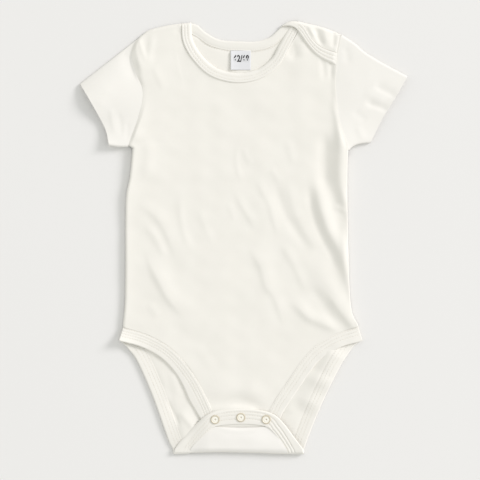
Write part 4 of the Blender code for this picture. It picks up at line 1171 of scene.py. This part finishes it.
def add_crotch_binding():
    """One strip from hip to hip, as it lies rolled out, brought round the fold with the back."""
    line = crotch_seam()
    x, y = line[:, 0], line[:, 1]
    at_left = x < CROTCH_MIDDLE_X
    past = FOLD_START_Y - FOLD_LENGTH - y
    from_fold = np.minimum(np.abs(past), np.abs(y - FOLD_START_Y))
    from_hip = np.abs(x - np.where(x < 0, line[0, 0], line[-1, 0]))
    near_hip = (from_hip < LEAN_LENGTH) & (past < -20)
    corner = soft_step((past - CORNER_START) / CORNER_RUN)

    # the strip in plan: square to its seam, but along the side seam at a hip and sideways at the fold
    sideways = np.where(at_left, -1.0, 1.0)
    hip_run = np.column_stack([sideways * HIP_WAY[0], np.full(len(line), HIP_WAY[1])])
    fold_run = np.column_stack([sideways, np.zeros(len(line))])
    lean = soft_step(1 - np.where(near_hip, from_hip, from_fold) / LEAN_LENGTH) * (1 - corner)
    out, squareness = across_strip(line, -1, lean, np.where(near_hip[:, None], hip_run, fold_run))
    into_turn = np.clip(1 + past / FOLD_LENGTH, 0, 1)
    from_turn = np.maximum(np.maximum(past, -FOLD_LENGTH - past), 0)
    reach = (CROTCH_WIDTH + PLACKET_EXTRA * corner) / squareness
    reach = toward(reach, TURN_WIDTH + TURN_EXTRA * into_turn, soft_step(1 - from_turn / 10))
    plan = strip_plan(line, out, reach)

    # its face, with grooves that are shallow on the back and deepest at the flap's right
    grooves = [toward(low, high, corner) for low, high in zip(CROTCH_GROOVES, PLACKET_GROOVES)]
    on_back = y > FOLD_START_Y - FOLD_LENGTH / 2
    at_fold, more = np.where(at_left[:, None], FLAP_DEPTH_LEFT, FLAP_DEPTH_RIGHT).T
    depth = np.where(on_back, BACK_DEPTH, at_fold + more * corner)
    soft_edge = soft_step((SOFT_END_X - x) / SOFT_END_RUN) * soft_step(past / 5)
    face = strip_relief(reach, CROTCH_WALL, grooves, depth, seam_rise=(0.93, 1.5),
                        edge_roll=(1.3 + 2.2 * soft_edge)[:, None], edge_power=(1 + soft_edge)[:, None])
    from_ends = np.minimum(from_fold, lengths_along(line))
    raised = LEFT_RAISE * at_left * on_back * soft_step(from_ends / 30)
    face = face + raised[:, None] * soft_step(STRIP_SHARES / 0.9)[None]
    fold = crease_height(BACK_EDGE_CREASES, plan[..., 0], plan[..., 1]) * soft_step(-past / 4)[:, None]
    face = face + np.maximum(fold, 0.2 - face)
    hip_end = soft_step(1 - from_hip / 20) * near_hip * at_left
    face = face + HIP_RISE * hip_end[:, None] * STRIP_SHARES**1.5

    turned_up = on_flap(plan) > 0.5
    floor = FLAP_FLOOR - BAND_RISE * soft_step((FOLD_START_Y - FOLD_LENGTH - plan[..., 1]) / 10 + 0.2)
    inner, outer = np.where(turned_up, floor, face), np.where(turned_up, floor - face, 0.0)
    mid, half = (inner + outer) / 2, np.maximum((inner - outer) / 2, THINNEST)
    inside, outside = folded(plan, mid + half), folded(plan, mid - half)
    for groove in grooves:
        for surface, shows in ((inside, past < -6), (outside, past > 0.5)):
            sewn = on_strip(surface, reach, groove)
            threads.extend(sewn[run] for run in unbroken(shows))
    return add_shell("crotch_and_leg_binding", inside, outside, BINDING,
                     ("leg_binding_back_left", "snap_placket", "leg_binding_back_right"))


UNDERLAP_LINE = ((-26, -181.2), (-14, -181.4), (-2, -181.0), (10, -181.2), (21.5, -181.2))
UNDERLAP_TUCK = 2.5      # how far it reaches above that line, under the snap band
UNDERLAP_SHOWS, UNDERLAP_MORE = 1.3, 1.2 # how far below it at its ends, and how much more in its middle
UNDERLAP_TOP, UNDERLAP_DIP, UNDERLAP_WALL = 6.0, 1.1, 0.7


def add_underlap():
    """The band's inner layer, which shows as a sliver in the slit below the snaps."""
    seam = along(UNDERLAP_LINE, 60)
    shares = np.linspace(0, 1, 12)
    across = np.sin(pi * np.linspace(0, 1, len(seam))) ** 0.4
    lower = seam - np.column_stack([0 * across, UNDERLAP_SHOWS + UNDERLAP_MORE * across])
    plan = between(seam + [0, UNDERLAP_TUCK], lower, shares)
    height = UNDERLAP_TOP - UNDERLAP_DIP * shares[None, :] ** 3
    return add_wall("snap_band_inner_layer", plan, height, height - UNDERLAP_WALL, BINDING)


# ---------------------------------------------------------------- sleeves

# Height of each cuff, by share of its width from the top edge to the under one
LEFT_CUFF_TOP = ((0, 2.4), (0.1, 5.4), (0.24, 7.8), (0.38, 7.4), (0.52, 5.4), (0.66, 3.9), (0.8, 5.2),
                 (1, 8.4))
RIGHT_CUFF_TOP = ((0, 4.2), (0.3, 4.6), (0.7, 4.0), (1, 3.6))
SLEEVE_ROWS, SLEEVE_COLUMNS = 84, 84
SLEEVE_SHARES = spread(SLEEVE_COLUMNS + 1, (0, 0.004, 0.012, 0.025, 0.045, 0.07))
SLEEVE_RINGS = np.r_[0, 0.003, 0.009, 0.02, np.linspace(0.035, 0.97, SLEEVE_ROWS - 6), 0.985, 0.994, 1]
SLEEVE_PUFF = 0.35       # how much fuller it is in its middle
SLEEVE_LEAST = 2.1       # its full height is nowhere lower than this
SLEEVE_ROLL = 1.7        # radius of its folded edges


def bend_of(line, shares):
    """How far a line is from the straight one between its ends."""
    return line - (line[0] * (1 - shares) + line[-1] * shares)


def add_sleeve(name, node, armhole, cuff, top_edge, under_edge, seam_top, cuff_top, creases, seed):
    """A flattened tube, open at the armhole and at the cuff."""
    shares, across = SLEEVE_SHARES, SLEEVE_SHARES[:, None]
    seam, hem = along(armhole, 1 - shares[::-1])[::-1], along(cuff, shares)
    top, under = along(top_edge, SLEEVE_RINGS), along(under_edge, SLEEVE_RINGS)
    seam_bend, hem_bend = bend_of(seam, across), bend_of(hem, across)
    seam_height, cuff_height = table(seam_top, shares), table(cuff_top, shares)

    def layer(inset):
        """Rings of points, `inset` inside the outer face."""
        rings = []
        for row, v in enumerate(SLEEVE_RINGS):
            line = top[row] * (1 - across) + under[row] * across
            line = line + (1 - v) * seam_bend + v * hem_bend
            width = np.linalg.norm(line[-1] - line[0])
            shifted = 0.5 + (shares - 0.5) * (1 - 2 * inset / width)
            x, y = np.interp(shifted, shares, line[:, 0]), np.interp(shifted, shares, line[:, 1])
            full = toward(seam_height, cuff_height, v ** 0.9)
            full = full + SLEEVE_PUFF * sin(pi * v) * (1 - (2 * shares - 1) ** 2)
            edge = np.minimum(shares, 1 - shares) * width
            folds = crease_height(creases, x, y) + crumple(x, y, seed, height=0.22)
            full = np.maximum(full + soft_step(v * 14) * soft_step(edge / 7) * folds, SLEEVE_LEAST)
            half = rounded(edge + 0.02, SLEEVE_ROLL) * (full / 2 - inset)
            rings.append(np.vstack([np.column_stack([x, y, full / 2 + half]),
                                    np.column_stack([x, y, full / 2 - half])[::-1]]))
        return np.stack(rings)

    outer, inner = layer(0.0), layer(CLOTH)
    inner[-1] = toward(inner[-1], outer[-1], 0.25)
    rings, around = outer.shape[:2]
    count = rings * around
    column = np.arange(around)
    beside = (column + 1) % around
    faces = [grid_faces(rings, around, 0, wrap=True), grid_faces(rings, around, count, wrap=True)[:, ::-1]]
    for start, order in ((0, 1), (count - around, -1)):
        here, after = start + column, start + beside
        faces.append(np.stack([after, here, here + count, after + count], -1)[:, ::order])
    points = np.vstack([outer.reshape(-1, 3), inner.reshape(-1, 3)])
    # the sleeves take the lighter copy of the jersey: painted light
    return add_piece(name, points, np.vstack(faces).tolist(), PALE_JERSEY, (node,))


# ---------------------------------------------------------------- stitches and snaps

STITCH_PITCH, STITCH_LENGTH, STITCH_RADIUS = 2.5, 1.9, 0.2
STITCH_RISE, STITCH_DIVE = 0.16, 0.22    # how far its middle stands up, and its ends go down from there
STITCH_SIDES = 6
StitchRing = namedtuple("StitchRing", "place size")  # place from -1 to 1 along it, share of its radius
STITCH_SECTION = (StitchRing(-1.0, 0.25), StitchRing(-0.8, 0.8), StitchRing(-0.3, 1.0),
                  StitchRing(0.3, 1.0), StitchRing(0.8, 0.8), StitchRing(1.0, 0.25))


def turns_of(sides):
    """Even angles of a full turn."""
    return np.arange(sides) * 2 * pi / sides


def stitch_points(start, end):
    """Rings of points round a thread that bends down at both ends."""
    run = unit(end - start)
    across = unit(np.cross(run, (0, 0, 1.0)))
    up = np.cross(across, run)
    points = []
    for ring in STITCH_SECTION:
        middle = (start + end) / 2 + ring.place * (end - start) / 2
        middle = middle + up * (STITCH_RISE - STITCH_DIVE * abs(ring.place) ** 3)
        for turn in turns_of(STITCH_SIDES):
            points.append(middle + STITCH_RADIUS * ring.size * (cos(turn) * across + sin(turn) * up))
    return points


def add_stitches():
    """Every visible stitch of the bindings: a short rounded thread that lies in its groove."""
    points, faces = [], []
    pattern = grid_faces(len(STITCH_SECTION), STITCH_SIDES, 0, wrap=True)
    for line in threads:
        middles = np.arange(STITCH_PITCH * 0.6, lengths_along(line)[-1] - STITCH_PITCH * 0.5, STITCH_PITCH)
        ends = at_lengths(line, np.r_[middles - STITCH_LENGTH / 2, middles + STITCH_LENGTH / 2])
        for start, end in zip(ends[:len(middles)], ends[len(middles):]):
            first = len(points)
            points.extend(stitch_points(start, end))
            last = len(points) - STITCH_SIDES
            faces.extend((pattern + first).tolist())
            faces.append(list(range(first, first + STITCH_SIDES))[::-1])
            faces.append(list(range(last, last + STITCH_SIDES)))
    add_piece("cover_stitches", points, faces, THREAD)


SnapRing = namedtuple("SnapRing", "radius height")
SNAP_PROFILE = (
    SnapRing(0.0, -0.35), SnapRing(4.15, -0.35), SnapRing(4.36, 0.1), SnapRing(4.4, 0.6),
    SnapRing(4.28, 1.0), SnapRing(4.05, 1.28), SnapRing(3.75, 1.4), SnapRing(3.45, 1.34),
    SnapRing(3.2, 1.1), SnapRing(3.06, 0.75), SnapRing(2.95, 0.62), SnapRing(2.8, 0.7),
    SnapRing(2.4, 0.92), SnapRing(1.9, 1.02), SnapRing(1.3, 1.04), SnapRing(0.95, 0.98),
    SnapRing(0.75, 0.7), SnapRing(0.6, 0.36), SnapRing(0.0, 0.3),
)
SNAP_SIDES = 48


def add_snap(node, x, y):
    """A turned press stud: its profile's first and last points close it at the axis."""
    turns = turns_of(SNAP_SIDES)
    points = [(0, 0, SNAP_PROFILE[0].height)]
    for ring in SNAP_PROFILE[1:-1]:
        points.extend(np.column_stack([ring.radius * np.cos(turns), ring.radius * np.sin(turns),
                                       np.full(SNAP_SIDES, ring.height)]))
    points.append((0, 0, SNAP_PROFILE[-1].height))
    top = len(points) - 1
    last = top - SNAP_SIDES
    faces = grid_faces(len(SNAP_PROFILE) - 2, SNAP_SIDES, 1, wrap=True).tolist()
    for side in range(SNAP_SIDES):
        beside = (side + 1) % SNAP_SIDES
        faces.append((0, 1 + beside, 1 + side))
        faces.append((top, last + side, last + beside))
    add_piece(node + "_stud", points, faces, ENAMEL, (node,), at=(x, y, SNAP_FLOOR))


# ---------------------------------------------------------------- label

LABEL_LEFT, LABEL_RIGHT, LABEL_TOP, LABEL_BOTTOM = -12.0, 7.6, 182.6, 163.6
LABEL_SEAM_Z = 1.3       # where it is sewn in
LABEL_Z, LABEL_SLACK = 1.5, 0.15         # its level, and how much higher its free end is
LABEL_CURL = 1.3         # how far its free left side stands up
LABEL_RIM = 0.12         # its thickness at its edges
LABEL_SATIN, LABEL_HEM = 0.45, 0.12      # what it gains within them, and what its hem adds
LABEL_HEM_WIDTH = 1.2
LABEL_COLUMNS, LABEL_ROWS, LABEL_NEAR = 41, 37, (0, 0.01, 0.03)
FIGURES_SIZE, FIGURES_WEIGHT, FIGURES_DEPTH = 6.6, 0.19, 0.06
FIGURES_X, FIGURES_Y, FIGURES_STRETCH = -1.6, 174.4, 1.35
FIGURES_Z, FIGURES_LIFT = 1.55, 0.6      # the label's level under them, and how far they are above it


def label_curl(share):
    """Rise of the label at a share of its width from the left."""
    return LABEL_CURL * (1 - share) ** 4


def add_label():
    """Satin label, sewn in at its top, hemmed at its foot and free at its sides."""
    columns, rows = spread(LABEL_COLUMNS, LABEL_NEAR), spread(LABEL_ROWS, LABEL_NEAR)
    x, y = np.meshgrid(LABEL_LEFT + (LABEL_RIGHT - LABEL_LEFT) * columns,
                       LABEL_BOTTOM + (LABEL_TOP - LABEL_BOTTOM) * rows)
    plan = np.dstack([x, y])
    _, _, first, last = edge_distances(plan)
    free = soft_step(last / 3)
    lift = LABEL_Z + LABEL_SLACK * (1 - rows[:, None]) ** 2 + label_curl(columns[None, :])
    lift = lift * free + LABEL_SEAM_Z * (1 - free)
    wall = LABEL_RIM + LABEL_SATIN * rounded(rim_distance(plan), 0.5)
    wall = wall + LABEL_HEM * bell(first - LABEL_HEM_WIDTH, 0.4)
    return add_wall("neck_label_satin", plan, lift + wall, lift, SATIN, ("neck_label",))


def add_figures():
    """Plain size figures, woven into the label and curled with it."""
    text = bpy.data.curves.new("size_figures", "FONT")
    text.body = "62/68"
    text.align_x, text.align_y = "CENTER", "CENTER"
    text.size, text.offset, text.extrude = FIGURES_SIZE * MM, FIGURES_WEIGHT * MM, FIGURES_DEPTH * MM
    drawn = in_scene("size_figures_outline", text)
    bpy.context.view_layer.update()
    mesh = bpy.data.meshes.new_from_object(drawn.evaluated_get(bpy.context.evaluated_depsgraph_get()))
    bpy.data.objects.remove(drawn)
    mesh.materials.clear()
    mesh.materials.append(FIGURES)
    for vertex in mesh.vertices:
        x = vertex.co.x / MM + FIGURES_X
        y = vertex.co.y / MM * FIGURES_STRETCH + FIGURES_Y
        curl = label_curl((x - LABEL_LEFT) / (LABEL_RIGHT - LABEL_LEFT))
        vertex.co = Vector((x, y, FIGURES_Z + curl + FIGURES_LIFT + vertex.co.z / MM)) * MM
    figures = in_scene("size_figures", mesh)
    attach(figures, "root")
    return figures


# ---------------------------------------------------------------- the garment

front, back = add_front(), add_back()
sleeve_left = add_sleeve(
    "left_sleeve_cloth", "sleeve_left", ARMHOLE_LEFT, CUFF_LEFT, SLEEVE_TOP_LEFT, UNDERARM_LEFT,
    seam_top=LEFT_SIDE.seam, cuff_top=LEFT_CUFF_TOP, creases=SLEEVE_CREASES_LEFT, seed=21)
sleeve_right = add_sleeve(
    "right_sleeve_cloth", "sleeve_right", ARMHOLE_RIGHT, CUFF_RIGHT, SLEEVE_TOP_RIGHT, UNDERARM_RIGHT,
    seam_top=RIGHT_SIDE.seam, cuff_top=RIGHT_CUFF_TOP, creases=SLEEVE_CREASES_RIGHT, seed=22)
front_bindings = add_front_bindings()
lap, lap_edge = add_lap(), add_lap_binding()
back_bindings = [add_back_neck(), add_crotch_binding(), add_underlap()]
add_stitches()
for node, place in SNAPS.items():
    add_snap(node, *place)
label, figures = add_label(), add_figures()
